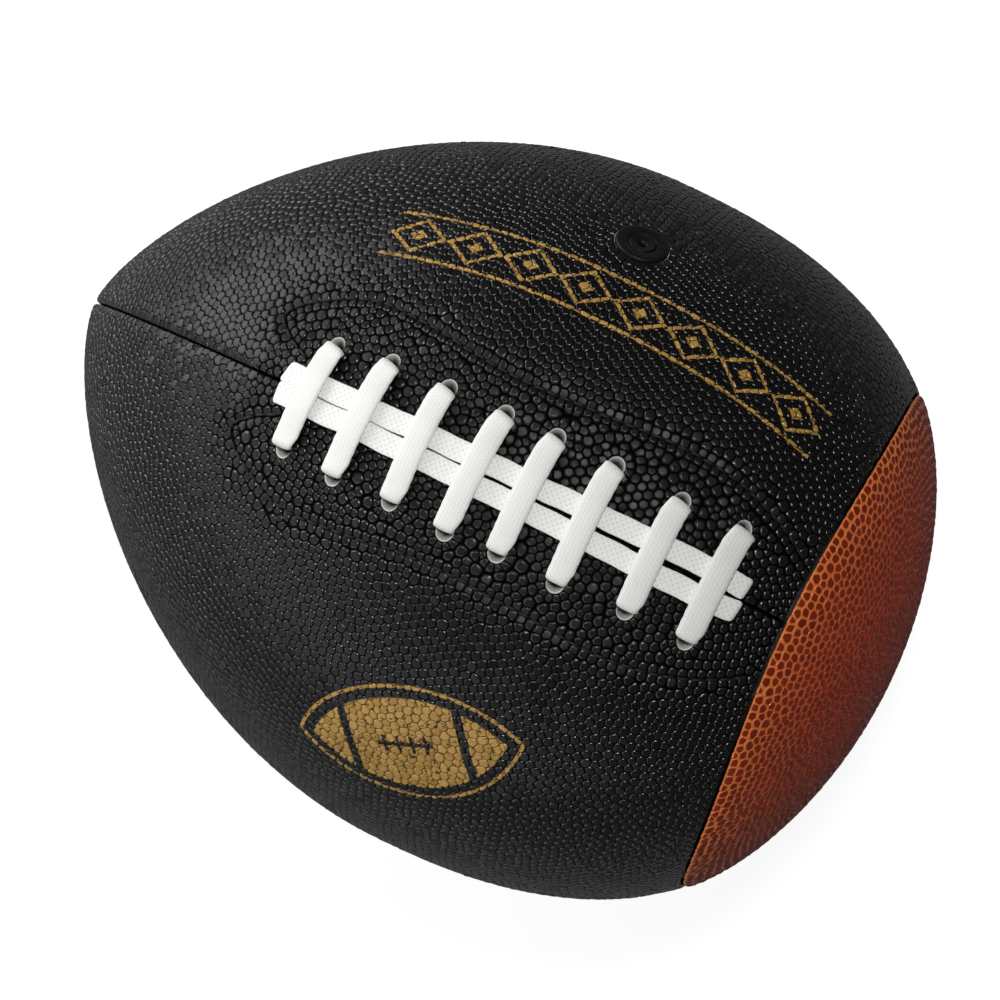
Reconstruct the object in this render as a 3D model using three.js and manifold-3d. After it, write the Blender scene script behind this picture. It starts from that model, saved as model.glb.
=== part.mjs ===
// A blunt-ended practice football: four black panels from a pointed nose to a circular seam, a brown domed
// panel that closes the other end, a flat white lace, linings, a bladder and its valve.
// Millimetres, +Z up through the lace, +X along the ball towards the cap. The ball lies on its underside.
import * as THREE from 'three';
import { mergeVertices } from 'three/addons/utils/BufferGeometryUtils.js';
import Module from 'manifold-3d';

const wasm = await Module();
wasm.setup();

// Outer form, measured along the axis from the plane of the widest girth
const girthRadius = 85.5;
const noseLength = 117.2;
const noseFullness = 1.88;
const noseSharpness = 0.69;
const tailLength = 100.8;
const tailFullness = 2.48;
const tailSharpness = 0.5;
const capStation = 72;
const capHeight = 21.8;
const capFullness = 0.82;
const noseHoleRadius = 1.2;
const restDepth = 0.5;

// Thicknesses of the layers, from the outside in
const skinThickness = 2.2;
const liningThickness = 1;
const tongueThickness = 1;
const bladderThickness = 0.8;

// Clearances
const layerGap = 0.3;
const seamGap = 0.3;
const liningSetback = 1.5;
const liningNoseRadius = 4;

// How far a layer draws in at the nose and at the tail for each millimetre of its depth
const noseDrawIn = 1.15;
const tailDrawIn = 0.9;

// Lace and lace strips
const crossings = 8;
const crossingPitch = 14.2;
const laceWidth = 5.6;
const laceThickness = 1.7;
const laceBevel = 0.7;
const laceBend = 1.3;
const laceReach = 13.8;
const laceTail = 6;
const stripWidth = 5;
const stripThickness = 1.4;
const stripBevel = 0.4;
const stripOverhang = 7.8;
const lastCrossingToCap = 18.6;
const shoulderMargin = 0.9;

// Lace holes, ovals that lie a little outside the lace that dips into them
const holeLength = 6.7;
const holeWidth = 5;
const holeOffset = 0.7;

// Sewn lace liner: its front edge lies ahead of the first crossing, its rear edge just before the cap seam
const linerFrontReach = 15;
const linerToCap = 1.5;
const linerHalfWidth = 26.2;
const linerMargin = 3;
const threadRadius = 0.35;
// Sewn outline as shares of the liner's length and of its half width
const linerOutline = [
  [0.077, 0.267],
  [0.03, 0.382],
  [0, 0.534],
  [0.016, 0.668],
  [0.07, 0.847],
  [0.145, 1],
  [0.24, 0.992],
  [0.42, 0.889],
  [0.58, 0.916],
  [0.76, 0.962],
  [0.86, 0.878],
  [0.935, 0.725],
  [1, 0.515],
];

// Guard strip under the lace, and the hollow in the bladder that holds it
const tongueOverhang = 8;
const tongueHalfWidth = 19;
const hollowMargin = 1.5;
const hollowRamp = 9;

// Seam threads
const seamThreadRadius = 0.5;
const laceSeamThreadGap = 4;

// Valve, on the panel at the +Y side of the lace
const valveStation = 4.1;
const valveAngle = THREE.MathUtils.degToRad(48.3);
const valveHeadRadius = 6.4;
const valveRimHeight = 0.6;
const valveDishDepth = 0.5;
const valveFlangeRadius = 8;
const valveStemRadius = 4.4;
const valveStemLength = 5;
const valvePlugRadius = 3;
const needleHoleRadius = 0.7;

// Facets: steps round a quarter of the ball and along a panel
const quarterSteps = 9;
const lengthSteps = 16;
const stationPower = 1.35;
const cutterSides = 12;
const threadSides = 4;
const valveSides = 20;
const hoopSteps = 4 * quarterSteps;
const capSteps = 6;

// Depth of each layer below the outer surface. Flat facets sag inwards, which the inner pieces allow for.
const facetSag = 2 * girthRadius * (1 - Math.cos(Math.PI / (4 * quarterSteps)));
const liningOuter = skinThickness + facetSag / 2 + layerGap;
const liningInner = liningOuter + liningThickness;
const bladderOuter = liningInner + facetSag + layerGap;
const laceUnder = liningInner + facetSag + layerGap + laceThickness / 2;
const tongueOuter = laceUnder + laceThickness / 2 + layerGap + facetSag / 2;
const tongueInner = tongueOuter + tongueThickness;
const hollowDepth = tongueInner + layerGap - bladderOuter;
const seamThreadDepth = liningOuter + liningThickness / 2;

// Places along the ball
const capStart = capStation + seamGap / 2;
const panelEnd = capStation - seamGap / 2;
const lastCrossing = capStation - lastCrossingToCap;
const firstCrossing = lastCrossing - (crossings - 1) * crossingPitch;
const tongueStart = firstCrossing - tongueOverhang;
const tongueEnd = lastCrossing + tongueOverhang;
const linerStart = firstCrossing - linerFrontReach;
const linerEnd = capStation - linerToCap;

// Materials
const finish = (color, roughness, metalness = 0) => () =>
  new THREE.MeshStandardMaterial({ color, roughness, metalness });
const blackSkin = finish(0x1b1a1a, 0.5);
const brownSkin = finish(0x7d3218, 0.5);
const whiteLace = finish(0xf1efea, 0.6);
const liningCloth = finish(0xcfc8ba, 0.9);
const blackRubber = finish(0x171717, 0.65);
const bladderRubber = finish(0x2c2a2a, 0.6);
const blackThread = finish(0x141414, 0.8);

const ball = new THREE.Group();

function addPiece(name, geometry, material, parent = ball) {
  const piece = new THREE.Mesh(geometry, material());
  piece.name = name;
  parent.add(piece);
  return piece;
}

// Radius of the layer at a depth below the outer surface, at a station along the axis
function layerRadius(x, depth = 0) {
  const length = x < 0 ? noseLength - noseDrawIn * depth : tailLength - tailDrawIn * depth;
  const fullness = x < 0 ? noseFullness : tailFullness;
  const sharpness = x < 0 ? noseSharpness : tailSharpness;
  const share = 1 - (Math.abs(x) / length) ** fullness;
  return (girthRadius - depth) * share ** sharpness;
}

// Station near the nose where the layer at a depth has a radius
function noseStation(radius, depth) {
  const share = 1 - (radius / (girthRadius - depth)) ** (1 / noseSharpness);
  return -(noseLength - noseDrawIn * depth) * share ** (1 / noseFullness);
}

// Point on a layer at an angle round the axis, from the lace seam towards +Y
function onLayer(x, angle, depth) {
  const radius = layerRadius(x, depth);
  return new THREE.Vector3(x, radius * Math.sin(angle), radius * Math.cos(angle));
}

// Point at a distance from the lace seam, measured round the outer surface
function besideLace(x, distance, depth) {
  return onLayer(x, distance / layerRadius(x), depth);
}

const shareOf = (i, steps) => i / steps;
const stationsBetween = (start, end, steps, power = 1) =>
  Array.from({ length: steps + 1 }, (_, i) => start + (end - start) * shareOf(i, steps) ** power);

// Closed solid from rings of points. A band ring holds an outer row and then the inner row backwards.
function loft(rings, ends = 'fan') {
  const count = rings[0].length;
  const positions = rings.flat().flatMap((p) => [p.x, p.y, p.z]);
  const faces = [];
  for (let i = 0; i < rings.length - 1; i++) {
    for (let j = 0; j < count; j++) {
      const a = i * count + j;
      const b = i * count + ((j + 1) % count);
      faces.push(a, b, b + count, a, b + count, a + count);
    }
  }
  const last = (rings.length - 1) * count;
  const addEnd = (a, b, c) => faces.push(a, c, b, last + a, last + b, last + c);
  if (ends === 'fan') {
    for (let j = 1; j < count - 1; j++) addEnd(0, j, j + 1);
  } else {
    for (let j = 0; j < count / 2 - 1; j++) {
      addEnd(j, j + 1, count - 2 - j);
      addEnd(j, count - 2 - j, count - 1 - j);
    }
  }
  return facingOut(positions, faces);
}

// Geometry with its faces turned out, told by the sign of its volume
function facingOut(positions, faces) {
  let volume = 0;
  const corner = (i) => new THREE.Vector3().fromArray(positions, 3 * i);
  for (let i = 0; i < faces.length; i += 3) {
    volume += corner(faces[i]).dot(corner(faces[i + 1]).cross(corner(faces[i + 2])));
  }
  const geometry = new THREE.BufferGeometry();
  geometry.setAttribute('position', new THREE.Float32BufferAttribute(positions, 3));
  geometry.setIndex(volume > 0 ? faces : faces.toReversed());
  return geometry;
}

function toSolid(geometry) {
  const bare = geometry.clone();
  bare.deleteAttribute('normal');
  bare.deleteAttribute('uv');
  const merged = mergeVertices(bare);
  const vertProperties = new Float32Array(merged.attributes.position.array);
  const triVerts = new Uint32Array(merged.index.array);
  return new wasm.Manifold(new wasm.Mesh({ numProp: 3, vertProperties, triVerts }));
}

function toGeometry(solid) {
  const mesh = solid.getMesh();
  const geometry = new THREE.BufferGeometry();
  geometry.setAttribute('position', new THREE.Float32BufferAttribute(mesh.vertProperties, 3));
  geometry.setIndex([...mesh.triVerts]);
  return geometry;
}

const cutAway = (geometry, cutters) =>
  toGeometry(cutters.reduce((solid, cutter) => solid.subtract(toSolid(cutter)), toSolid(geometry)));

// Turns a shape whose own +Y points out of the ball to stand at a point of the outer surface
function standing(x, angle) {
  const place = onLayer(x, angle, 0);
  const turn = new THREE.Quaternion().setFromEuler(new THREE.Euler(Math.PI / 2 - angle, 0, 0));
  return new THREE.Matrix4().compose(place, turn, new THREE.Vector3(1, 1, 1));
}

// Round or oval cutter through all layers
function holeCutter(x, angle, halfLength, halfWidth) {
  const throughDepth = 4 * bladderOuter;
  const cutter = new THREE.CylinderGeometry(1, 1, throughDepth, cutterSides);
  cutter.scale(halfLength, 1, halfWidth);
  return cutter.applyMatrix4(standing(x, angle));
}

// Quarter of a body layer between two depths, with its edges held back from the seam planes
function quarterLayer(quarter, outer, inner, setback, noseRadius, end) {
  const rowsAt = (depth) =>
    stationsBetween(noseStation(noseRadius, depth), end, lengthSteps, stationPower).map((x) => {
      const edge = Math.asin(setback / layerRadius(x, depth));
      const angles = stationsBetween(edge, Math.PI / 2 - edge, quarterSteps);
      return angles.map((angle) => onLayer(x, angle + (quarter * Math.PI) / 2, depth));
    });
  const innerRows = rowsAt(inner);
  return loft(rowsAt(outer).map((row, i) => [...row, ...innerRows[i].toReversed()]), 'band');
}

// Tube with few sides along points
function threadAlong(points, radius) {
  const rings = points.map((point, i) => {
    const ahead = points[Math.min(i + 1, points.length - 1)];
    const behind = points[Math.max(i - 1, 0)];
    const along = ahead.clone().sub(behind).normalize();
    const outward = new THREE.Vector3(0, point.y, point.z);
    const up = outward.addScaledVector(along, -outward.dot(along)).normalize();
    const side = new THREE.Vector3().crossVectors(along, up);
    return Array.from({ length: threadSides }, (_, j) => {
      const angle = (2 * Math.PI * j) / threadSides;
      return point
        .clone()
        .addScaledVector(up, radius * Math.cos(angle))
        .addScaledVector(side, radius * Math.sin(angle));
    });
  });
  return loft(rings);
}

// The sides of the lace: +1 is the valve side
const laceSides = [
  { name: 'valve_side', sign: 1, laceQuarter: 0, underQuarter: 1 },
  { name: 'plain_side', sign: -1, laceQuarter: 3, underQuarter: 2 },
];
const crossingStations = stationsBetween(firstCrossing, lastCrossing, crossings - 1);

// Sewn outline of the lace liner on one side, as a smooth curve of stations and distances from the seam
function linerCurve(sign) {
  const points = linerOutline.map(
    ([along, across]) =>
      new THREE.Vector3(linerStart + (linerEnd - linerStart) * along, sign * linerHalfWidth * across, 0)
  );
  return new THREE.CatmullRomCurve3(points, false, 'centripetal');
}

const stitchSteps = 34;
const stitchDepth = 0.1;
function stitchRoute(sign, extra = 0) {
  const route = linerCurve(sign).getSpacedPoints(stitchSteps);
  const start = route[0].clone().sub(route[1]).setLength(extra).add(route[0]);
  const end = route.at(-1).clone().sub(route.at(-2)).setLength(extra).add(route.at(-1));
  const whole = extra ? [start, ...route, end] : route;
  return whole.map((p) => besideLace(p.x, p.y, stitchDepth));
}

// Upright prism over the lace liner on one side, seen from above
function linerPrism(sign, margin) {
  const frontPoint = 2;
  const outline = linerOutline.slice(frontPoint).map(([along, across]) => {
    const x = linerStart + (linerEnd - linerStart) * along;
    return besideLace(x - (along === 0 ? margin : 0), sign * (linerHalfWidth * across + margin), 0);
  });
  const beyond = capStation + linerMargin;
  const rear = outline.at(-1).y;
  const shape = new THREE.Shape([
    new THREE.Vector2(outline[0].x, -sign * linerMargin),
    ...outline.map((p) => new THREE.Vector2(p.x, p.y)),
    new THREE.Vector2(beyond, rear),
    new THREE.Vector2(beyond, -sign * linerMargin),
  ]);
  return new THREE.ExtrudeGeometry(shape, { depth: 2 * girthRadius, bevelEnabled: false });
}

// Lace holes through the layers on one side
const laceHoles = (sign) =>
  crossingStations.map((x) =>
    holeCutter(x, (sign * (laceReach + holeOffset)) / layerRadius(x), holeLength / 2, holeWidth / 2)
  );

// Ground that the ball lies on, which flattens the underside
function restCutter() {
  const side = 2 * girthRadius;
  const ground = new THREE.BoxGeometry(side, side, side);
  return ground.translate(0, 0, restDepth - girthRadius - side / 2);
}

function makePanels() {
  for (const { name, sign, laceQuarter, underQuarter } of laceSides) {
    const panel = (quarter) =>
      quarterLayer(quarter, 0, skinThickness, seamGap / 2, noseHoleRadius, panelEnd);
    const groove = threadAlong(stitchRoute(sign, layerGap), threadRadius + layerGap);
    const cutters = [...laceHoles(sign), groove];
    if (sign > 0) {
      const radius = valveHeadRadius + layerGap;
      cutters.push(holeCutter(valveStation, valveAngle, radius, radius));
    }
    addPiece(`panel_lace_${name}`, cutAway(panel(laceQuarter), cutters), blackSkin);
    addPiece(`panel_under_${name}`, cutAway(panel(underQuarter), [restCutter()]), blackSkin);
  }
}

function makeLinings() {
  for (const { name, sign, laceQuarter, underQuarter } of laceSides) {
    const layer = (quarter) =>
      quarterLayer(
        quarter, liningOuter, liningInner, liningSetback, liningNoseRadius, capStation - liningSetback
      );
    const laceLayer = cutAway(layer(laceQuarter), laceHoles(sign));
    const liner = toSolid(laceLayer).intersect(toSolid(linerPrism(sign, linerMargin)));
    const cutters = [linerPrism(sign, linerMargin + layerGap)];
    if (sign > 0) {
      const radius = valveFlangeRadius + layerGap;
      cutters.push(holeCutter(valveStation, valveAngle, radius, radius));
    }
    addPiece(`lining_lace_${name}`, cutAway(laceLayer, cutters), liningCloth);
    addPiece(`lining_under_${name}`, layer(underQuarter), liningCloth);
    addPiece(`lace_liner_${name}`, toGeometry(liner), liningCloth);
    addPiece(`lace_liner_stitch_${name}`, threadAlong(stitchRoute(sign), threadRadius), blackThread);
  }
}

// Profile point of a cap layer at an angle from its crown: the radius, and the height above the cap seam
function capPoint(angle, depth) {
  const rise = (capHeight - depth) * Math.cos(angle) ** (2 * capFullness);
  return new THREE.Vector2(Math.sin(angle) * layerRadius(capStation, depth), rise);
}

// Shell between two depths of the cap, with its edge held back from the cap seam
function capShell(outer, inner, setback) {
  const profile = (depth) => {
    const edge = Math.acos((setback / (capHeight - depth)) ** (1 / (2 * capFullness)));
    const angles = stationsBetween(0, Math.PI / 2, capSteps);
    const within = angles.filter((angle) => angle < edge - angles[1] / 2);
    return [...within, edge].map((angle) => capPoint(angle, depth));
  };
  return new THREE.LatheGeometry([...profile(inner), ...profile(outer).toReversed()], hoopSteps);
}

function makeCap() {
  const cap = new THREE.Group();
  cap.position.x = capStart;
  cap.rotation.z = -Math.PI / 2;
  addPiece('cap_panel', capShell(0, skinThickness, 0), brownSkin, cap);
  addPiece('cap_lining', capShell(liningOuter, liningInner, liningSetback), liningCloth, cap);
  ball.add(cap);
}

// One loop of the lace, as distances from the lace seam and heights over the skin:
// over the strips, down a hole, back below the liner and up the next hole.
const laceClear = layerGap + laceThickness / 2;
const laceOverStrips = layerGap + stripThickness + laceClear;
const laceShoulder = seamGap / 2 + stripWidth + shoulderMargin;
const laceFlat = laceReach - laceBend;

function bendPoints(centre, height, from, to, steps) {
  return stationsBetween(from, to, steps).map((angle) => [
    centre + laceBend * Math.cos(angle),
    height + laceBend * Math.sin(angle),
  ]);
}

function laceOverRun() {
  const ramp = (laceFlat + laceShoulder) / 2;
  const halfway = (laceClear + laceOverStrips) / 2;
  const rising = [
    [-ramp, halfway],
    [-laceShoulder, laceOverStrips],
  ];
  const falling = rising.map(([distance, height]) => [-distance, height]).toReversed();
  return [...rising, [0, laceOverStrips], ...falling];
}

// The whole lace as stations with distances and heights, its ends tucked under the liner
function laceRoute() {
  const quarterTurn = Math.PI / 2;
  const upperBend = laceClear - laceBend;
  const lowerBend = laceBend - laceUnder;
  const upperSteps = 3;
  const lowerSteps = 2;
  const route = [[firstCrossing, laceTail - laceFlat, -laceUnder]];
  crossingStations.forEach((x, loop) => {
    const add = (points) => points.forEach(([distance, height]) => route.push([x, distance, height]));
    add(bendPoints(-laceFlat, lowerBend, -quarterTurn, -2 * quarterTurn, lowerSteps));
    add(bendPoints(-laceFlat, upperBend, 2 * quarterTurn, quarterTurn, upperSteps));
    add(laceOverRun());
    add(bendPoints(laceFlat, upperBend, quarterTurn, 0, upperSteps));
    add(bendPoints(laceFlat, lowerBend, 0, -quarterTurn, lowerSteps));
    if (loop < crossings - 1) {
      const underSteps = 4;
      for (let i = 1; i < underSteps; i++) {
        const share = shareOf(i, underSteps);
        route.push([x + crossingPitch * share, laceFlat * (1 - 2 * share), -laceUnder]);
      }
    }
  });
  route.push([lastCrossing, laceFlat - laceTail, -laceUnder]);
  return route;
}

// Flat six-sided section: offsets along the ball and through the thickness
function flatSection(width, thickness, bevel) {
  const half = width / 2;
  const deep = thickness / 2;
  const inner = half - bevel;
  return [[-half, 0], [-inner, deep], [inner, deep], [half, 0], [inner, -deep], [-inner, -deep]];
}

function makeLace() {
  const route = laceRoute();
  const section = flatSection(laceWidth, laceThickness, laceBevel);
  const rings = route.map(([x, distance, height], i) => {
    const behind = route[Math.max(i - 1, 0)];
    const ahead = route[Math.min(i + 1, route.length - 1)];
    const along = new THREE.Vector2(ahead[1] - behind[1], ahead[2] - behind[2]).normalize();
    return section.map(([wide, deep]) =>
      besideLace(x + wide, distance - deep * along.y, -(height + deep * along.x))
    );
  });
  addPiece('lace', loft(rings), whiteLace);
  printLeastGap(rings);
}

// Least distance of the lace to itself, between points more than a half loop apart
function printLeastGap(rings) {
  const halfLoop = Math.floor(rings.length / crossings / 2);
  const reach = 2 * laceWidth;
  const middle = (ring) => ring.reduce((sum, p) => sum.add(p), new THREE.Vector3()).divideScalar(ring.length);
  const middles = rings.map(middle);
  const travel = [0];
  for (let i = 1; i < middles.length; i++) travel.push(travel[i - 1] + middles[i].distanceTo(middles[i - 1]));
  let least = Infinity;
  for (let i = 0; i < rings.length; i++) {
    for (let j = i + halfLoop; j < rings.length; j++) {
      if (travel[j] - travel[i] < reach) continue;
      for (const p of rings[i]) for (const q of rings[j]) least = Math.min(least, p.distanceTo(q));
    }
  }
  console.log(`lace: ${crossings} loops, least gap to itself ${least.toFixed(2)} mm`);
}

function makeStrips() {
  const stripSteps = 16;
  const stations = stationsBetween(firstCrossing - stripOverhang, lastCrossing + stripOverhang, stripSteps);
  const section = flatSection(stripWidth, stripThickness, stripBevel);
  const lift = layerGap + stripThickness / 2;
  for (const { name, sign } of laceSides) {
    const middle = sign * (seamGap / 2 + stripWidth / 2);
    const rings = stations.map((x) =>
      section.map(([wide, deep]) => besideLace(x, middle + wide, -(lift + deep)))
    );
    addPiece(`lace_strip_${name}`, loft(rings), whiteLace);
  }
}

function makeTongue() {
  const tongueSteps = 10;
  const acrossSteps = 6;
  const row = (x, depth) =>
    stationsBetween(-tongueHalfWidth, tongueHalfWidth, acrossSteps).map((d) => besideLace(x, d, depth));
  const rings = stationsBetween(tongueStart, tongueEnd, tongueSteps).map((x) => [
    ...row(x, tongueOuter),
    ...row(x, tongueInner).toReversed(),
  ]);
  addPiece('lace_tongue', loft(rings, 'band'), liningCloth);
}

// Closed body of the bladder's shape at a depth, hollowed under the lace
function bladderBody(depth) {
  const hollowStart = tongueStart - hollowMargin;
  const hollowEnd = tongueEnd + hollowMargin;
  const leastRadius = Math.min(layerRadius(hollowStart), layerRadius(hollowEnd));
  const hollowAngle = (tongueHalfWidth + hollowMargin) / leastRadius;
  const rampAngle = hollowRamp / leastRadius;
  const poleRadius = 2;
  const noseSteps = 4;
  const hollowSteps = 4;
  const wideSteps = 6;
  const crownSteps = 4;
  const half = [
    hollowAngle / 2,
    hollowAngle,
    ...stationsBetween(hollowAngle + rampAngle, Math.PI, wideSteps),
  ];
  const angles = [0, ...half, ...half.slice(0, -1).map((angle) => -angle).toReversed()];
  const sunkAt = (x, angle) => {
    const inLength = x >= hollowStart && x <= hollowEnd;
    return inLength && Math.abs(angle) <= hollowAngle ? hollowDepth : 0;
  };
  const noseEnd = hollowStart - hollowRamp;
  const stations = [
    ...stationsBetween(noseStation(poleRadius, depth), noseEnd, noseSteps, stationPower),
    ...stationsBetween(hollowStart, hollowEnd, hollowSteps),
    capStation,
  ];
  const bodyRings = stations.map((x) => angles.map((angle) => onLayer(x, angle, depth + sunkAt(x, angle))));
  const poleAngle = Math.asin(poleRadius / layerRadius(capStation, depth));
  const capRings = stationsBetween(Math.PI / 2, poleAngle, crownSteps).slice(1).map((capAngle) => {
    const { x: radius, y: rise } = capPoint(capAngle, depth);
    return angles.map(
      (angle) => new THREE.Vector3(capStation + rise, radius * Math.sin(angle), radius * Math.cos(angle))
    );
  });
  return loft([...bodyRings, ...capRings]);
}

function makeBladder() {
  const neckRadius = valveStemRadius + layerGap;
  const neck = holeCutter(valveStation, valveAngle, neckRadius, neckRadius);
  const air = bladderBody(bladderOuter + bladderThickness);
  addPiece('bladder', cutAway(bladderBody(bladderOuter), [air, neck]), bladderRubber);
}

// Valve pieces, turned about the valve's own axis; heights are over the outer surface
function makeValve() {
  const valve = new THREE.Group();
  valve.applyMatrix4(standing(valveStation, valveAngle));
  const turned = (points) =>
    new THREE.LatheGeometry(points.map(([radius, height]) => new THREE.Vector2(radius, height)), valveSides);
  const bore = valvePlugRadius + layerGap;
  const flangeTop = -(skinThickness + facetSag + valveFlangeRadius ** 2 / (2 * girthRadius) + layerGap);
  const flangeBottom = layerGap - bladderOuter;
  const stemEnd = flangeBottom - valveStemLength;
  const rim = (valveHeadRadius + bore) / 2;
  const body = [
    [bore, stemEnd],
    [valveStemRadius, stemEnd],
    [valveStemRadius, flangeBottom],
    [valveFlangeRadius, flangeBottom],
    [valveFlangeRadius, flangeTop],
    [valveHeadRadius, flangeTop],
    [valveHeadRadius, 0],
    [(valveHeadRadius + rim) / 2, valveRimHeight],
    [rim, valveRimHeight],
    [bore, -valveDishDepth],
    [bore, stemEnd],
  ];
  const plug = [
    [needleHoleRadius, stemEnd],
    [valvePlugRadius, stemEnd],
    [valvePlugRadius, -valveDishDepth],
    [needleHoleRadius, -2 * valveDishDepth],
    [needleHoleRadius, stemEnd],
  ];
  addPiece('valve_body', turned(body), blackRubber, valve);
  addPiece('valve_plug', turned(plug), blackRubber, valve);
  ball.add(valve);
}

// Threads that sew the panel edges together, in the channels between the linings
function makeSeamThreads() {
  const noseEnd = noseStation(liningNoseRadius, seamThreadDepth);
  const rearEnd = capStation - liningSetback;
  const seam = (name, angle, start, end, steps = lengthSteps) => {
    const stations = stationsBetween(start, end, steps, start === noseEnd ? stationPower : 1);
    const points = stations.map((x) => onLayer(x, angle, seamThreadDepth));
    addPiece(name, threadAlong(points, seamThreadRadius), blackThread);
  };
  const shortSteps = 8;
  seam('seam_thread_lace_nose', 0, noseEnd, firstCrossing - stripOverhang - laceSeamThreadGap, shortSteps);
  seam('seam_thread_lace_cap', 0, lastCrossing + stripOverhang + laceSeamThreadGap, rearEnd, 2);
  seam('seam_thread_valve_side', Math.PI / 2, noseEnd, rearEnd);
  seam('seam_thread_plain_side', -Math.PI / 2, noseEnd, rearEnd);
  seam('seam_thread_underside', Math.PI, noseEnd, rearEnd);
  const ringRadius = layerRadius(capStation, seamThreadDepth);
  const ring = new THREE.TorusGeometry(ringRadius, seamThreadRadius, threadSides, hoopSteps);
  const capRing = addPiece('seam_thread_cap', ring, blackThread);
  capRing.position.x = capStation;
  capRing.rotation.y = Math.PI / 2;
}

makePanels();
makeCap();
makeLinings();
makeLace();
makeStrips();
makeTongue();
makeBladder();
makeValve();
makeSeamThreads();

// The origin is under the middle of the ball's length, on the ground that it lies on
const noseTip = noseStation(noseHoleRadius, 0);
const capTop = capStart + capHeight;
ball.position.set(-(noseTip + capTop) / 2, 0, girthRadius - restDepth);

export default ball;
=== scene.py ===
# %% [markdown]
# # Dressing a blunt-ended practice football
# The CAD model gives this ball its pieces and sizes. This lesson gives them their looks: pebbled black and
# brown skins, a braided white lace on two strips, sewn outlines and a rubber valve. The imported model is
# loaded first and stays fixed, and each piece made below sits in the same frame.

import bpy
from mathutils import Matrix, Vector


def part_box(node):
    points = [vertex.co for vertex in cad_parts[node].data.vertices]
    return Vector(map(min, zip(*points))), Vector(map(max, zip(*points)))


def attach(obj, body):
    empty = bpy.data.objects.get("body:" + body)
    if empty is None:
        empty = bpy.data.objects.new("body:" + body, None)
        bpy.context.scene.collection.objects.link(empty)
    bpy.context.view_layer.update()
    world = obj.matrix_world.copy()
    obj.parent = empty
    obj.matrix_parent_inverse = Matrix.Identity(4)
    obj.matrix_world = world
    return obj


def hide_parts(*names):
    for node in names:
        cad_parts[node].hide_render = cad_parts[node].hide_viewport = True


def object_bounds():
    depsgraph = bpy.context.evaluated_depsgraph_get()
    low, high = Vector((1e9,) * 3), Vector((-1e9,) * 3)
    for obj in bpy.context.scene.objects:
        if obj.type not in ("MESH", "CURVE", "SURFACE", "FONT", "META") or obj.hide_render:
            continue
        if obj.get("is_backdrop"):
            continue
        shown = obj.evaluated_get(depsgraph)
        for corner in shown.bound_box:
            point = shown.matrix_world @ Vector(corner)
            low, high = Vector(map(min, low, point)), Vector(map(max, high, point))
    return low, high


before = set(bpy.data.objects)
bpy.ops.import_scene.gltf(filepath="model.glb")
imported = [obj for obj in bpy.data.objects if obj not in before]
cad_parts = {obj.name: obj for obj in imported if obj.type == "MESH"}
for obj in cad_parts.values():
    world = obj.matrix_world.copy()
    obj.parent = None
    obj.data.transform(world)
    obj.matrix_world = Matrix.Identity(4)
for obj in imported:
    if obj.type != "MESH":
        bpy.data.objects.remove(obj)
cad_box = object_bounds()
print("CAD nodes:", len(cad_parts))

# %% Tools for this lesson
import math

import bpy
import numpy as np
from mathutils import Matrix, Vector
from mathutils.geometry import delaunay_2d_cdt

random = np.random.default_rng(20)
METRES = 0.001  # all lengths below are in millimetres until a mesh is made

# %% [markdown]
# ## The form of the ball
# The skin is a surface of revolution: a pointed nose, a fuller tail that is cut off at a circular seam, and
# a dome that closes it. It could be read off the CAD mesh, but that has flat facets. The same few sizes and
# the same formula give a smooth surface, and it lands on the CAD one because both share their sizes.

# %% Outer form
girth_radius = 85.5
rest_depth = 0.5
nose_length, nose_fullness, nose_sharpness, nose_draw_in = 117.2, 1.88, 0.69, 1.15
tail_length, tail_fullness, tail_sharpness, tail_draw_in = 100.8, 2.48, 0.5, 0.9
nose_hole_radius = 1.2
cap_station, cap_height, cap_fullness = 72.0, 21.8, 0.82
seam_gap = 0.3
skin_thickness = 2.2
cap_start = cap_station + seam_gap / 2
panel_end = cap_station - seam_gap / 2


def skin_radius(x, depth=0.0):
    """Radius of the ball at a station along its axis, at a depth below the skin."""
    nose = np.asarray(x) < 0
    length = np.where(nose, nose_length - nose_draw_in * depth, tail_length - tail_draw_in * depth)
    fullness = np.where(nose, nose_fullness, tail_fullness)
    sharpness = np.where(nose, nose_sharpness, tail_sharpness)
    share = np.clip(np.abs(x) / length, 0, 1)
    return (girth_radius - depth) * (1 - share**fullness) ** sharpness


axis_height = girth_radius - rest_depth
girth_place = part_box("cap_panel")[1].x / METRES - (cap_start + cap_height)


def in_frame(x, y, z):
    """Points of the ball, measured from the widest girth on its axis, in the CAD frame."""
    return np.stack([x + girth_place, y, z + axis_height], axis=-1)


print(f"widest girth at x = {girth_place:.2f} mm, axis {axis_height:.2f} mm above the ground")

# %% [markdown]
# ## Unrolling the skin
# Pebbles are laid out on a flat plan and then rolled onto the ball. A plan made of plain lengths would
# squeeze them near the nose. If each step along the ball is divided by the radius there, as on a Mercator
# map, small circles stay circles everywhere, so a flat method for neighbours works on the curved skin too.
# The dome uses the polar form of the same map, with the seam as the unit circle.


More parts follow.
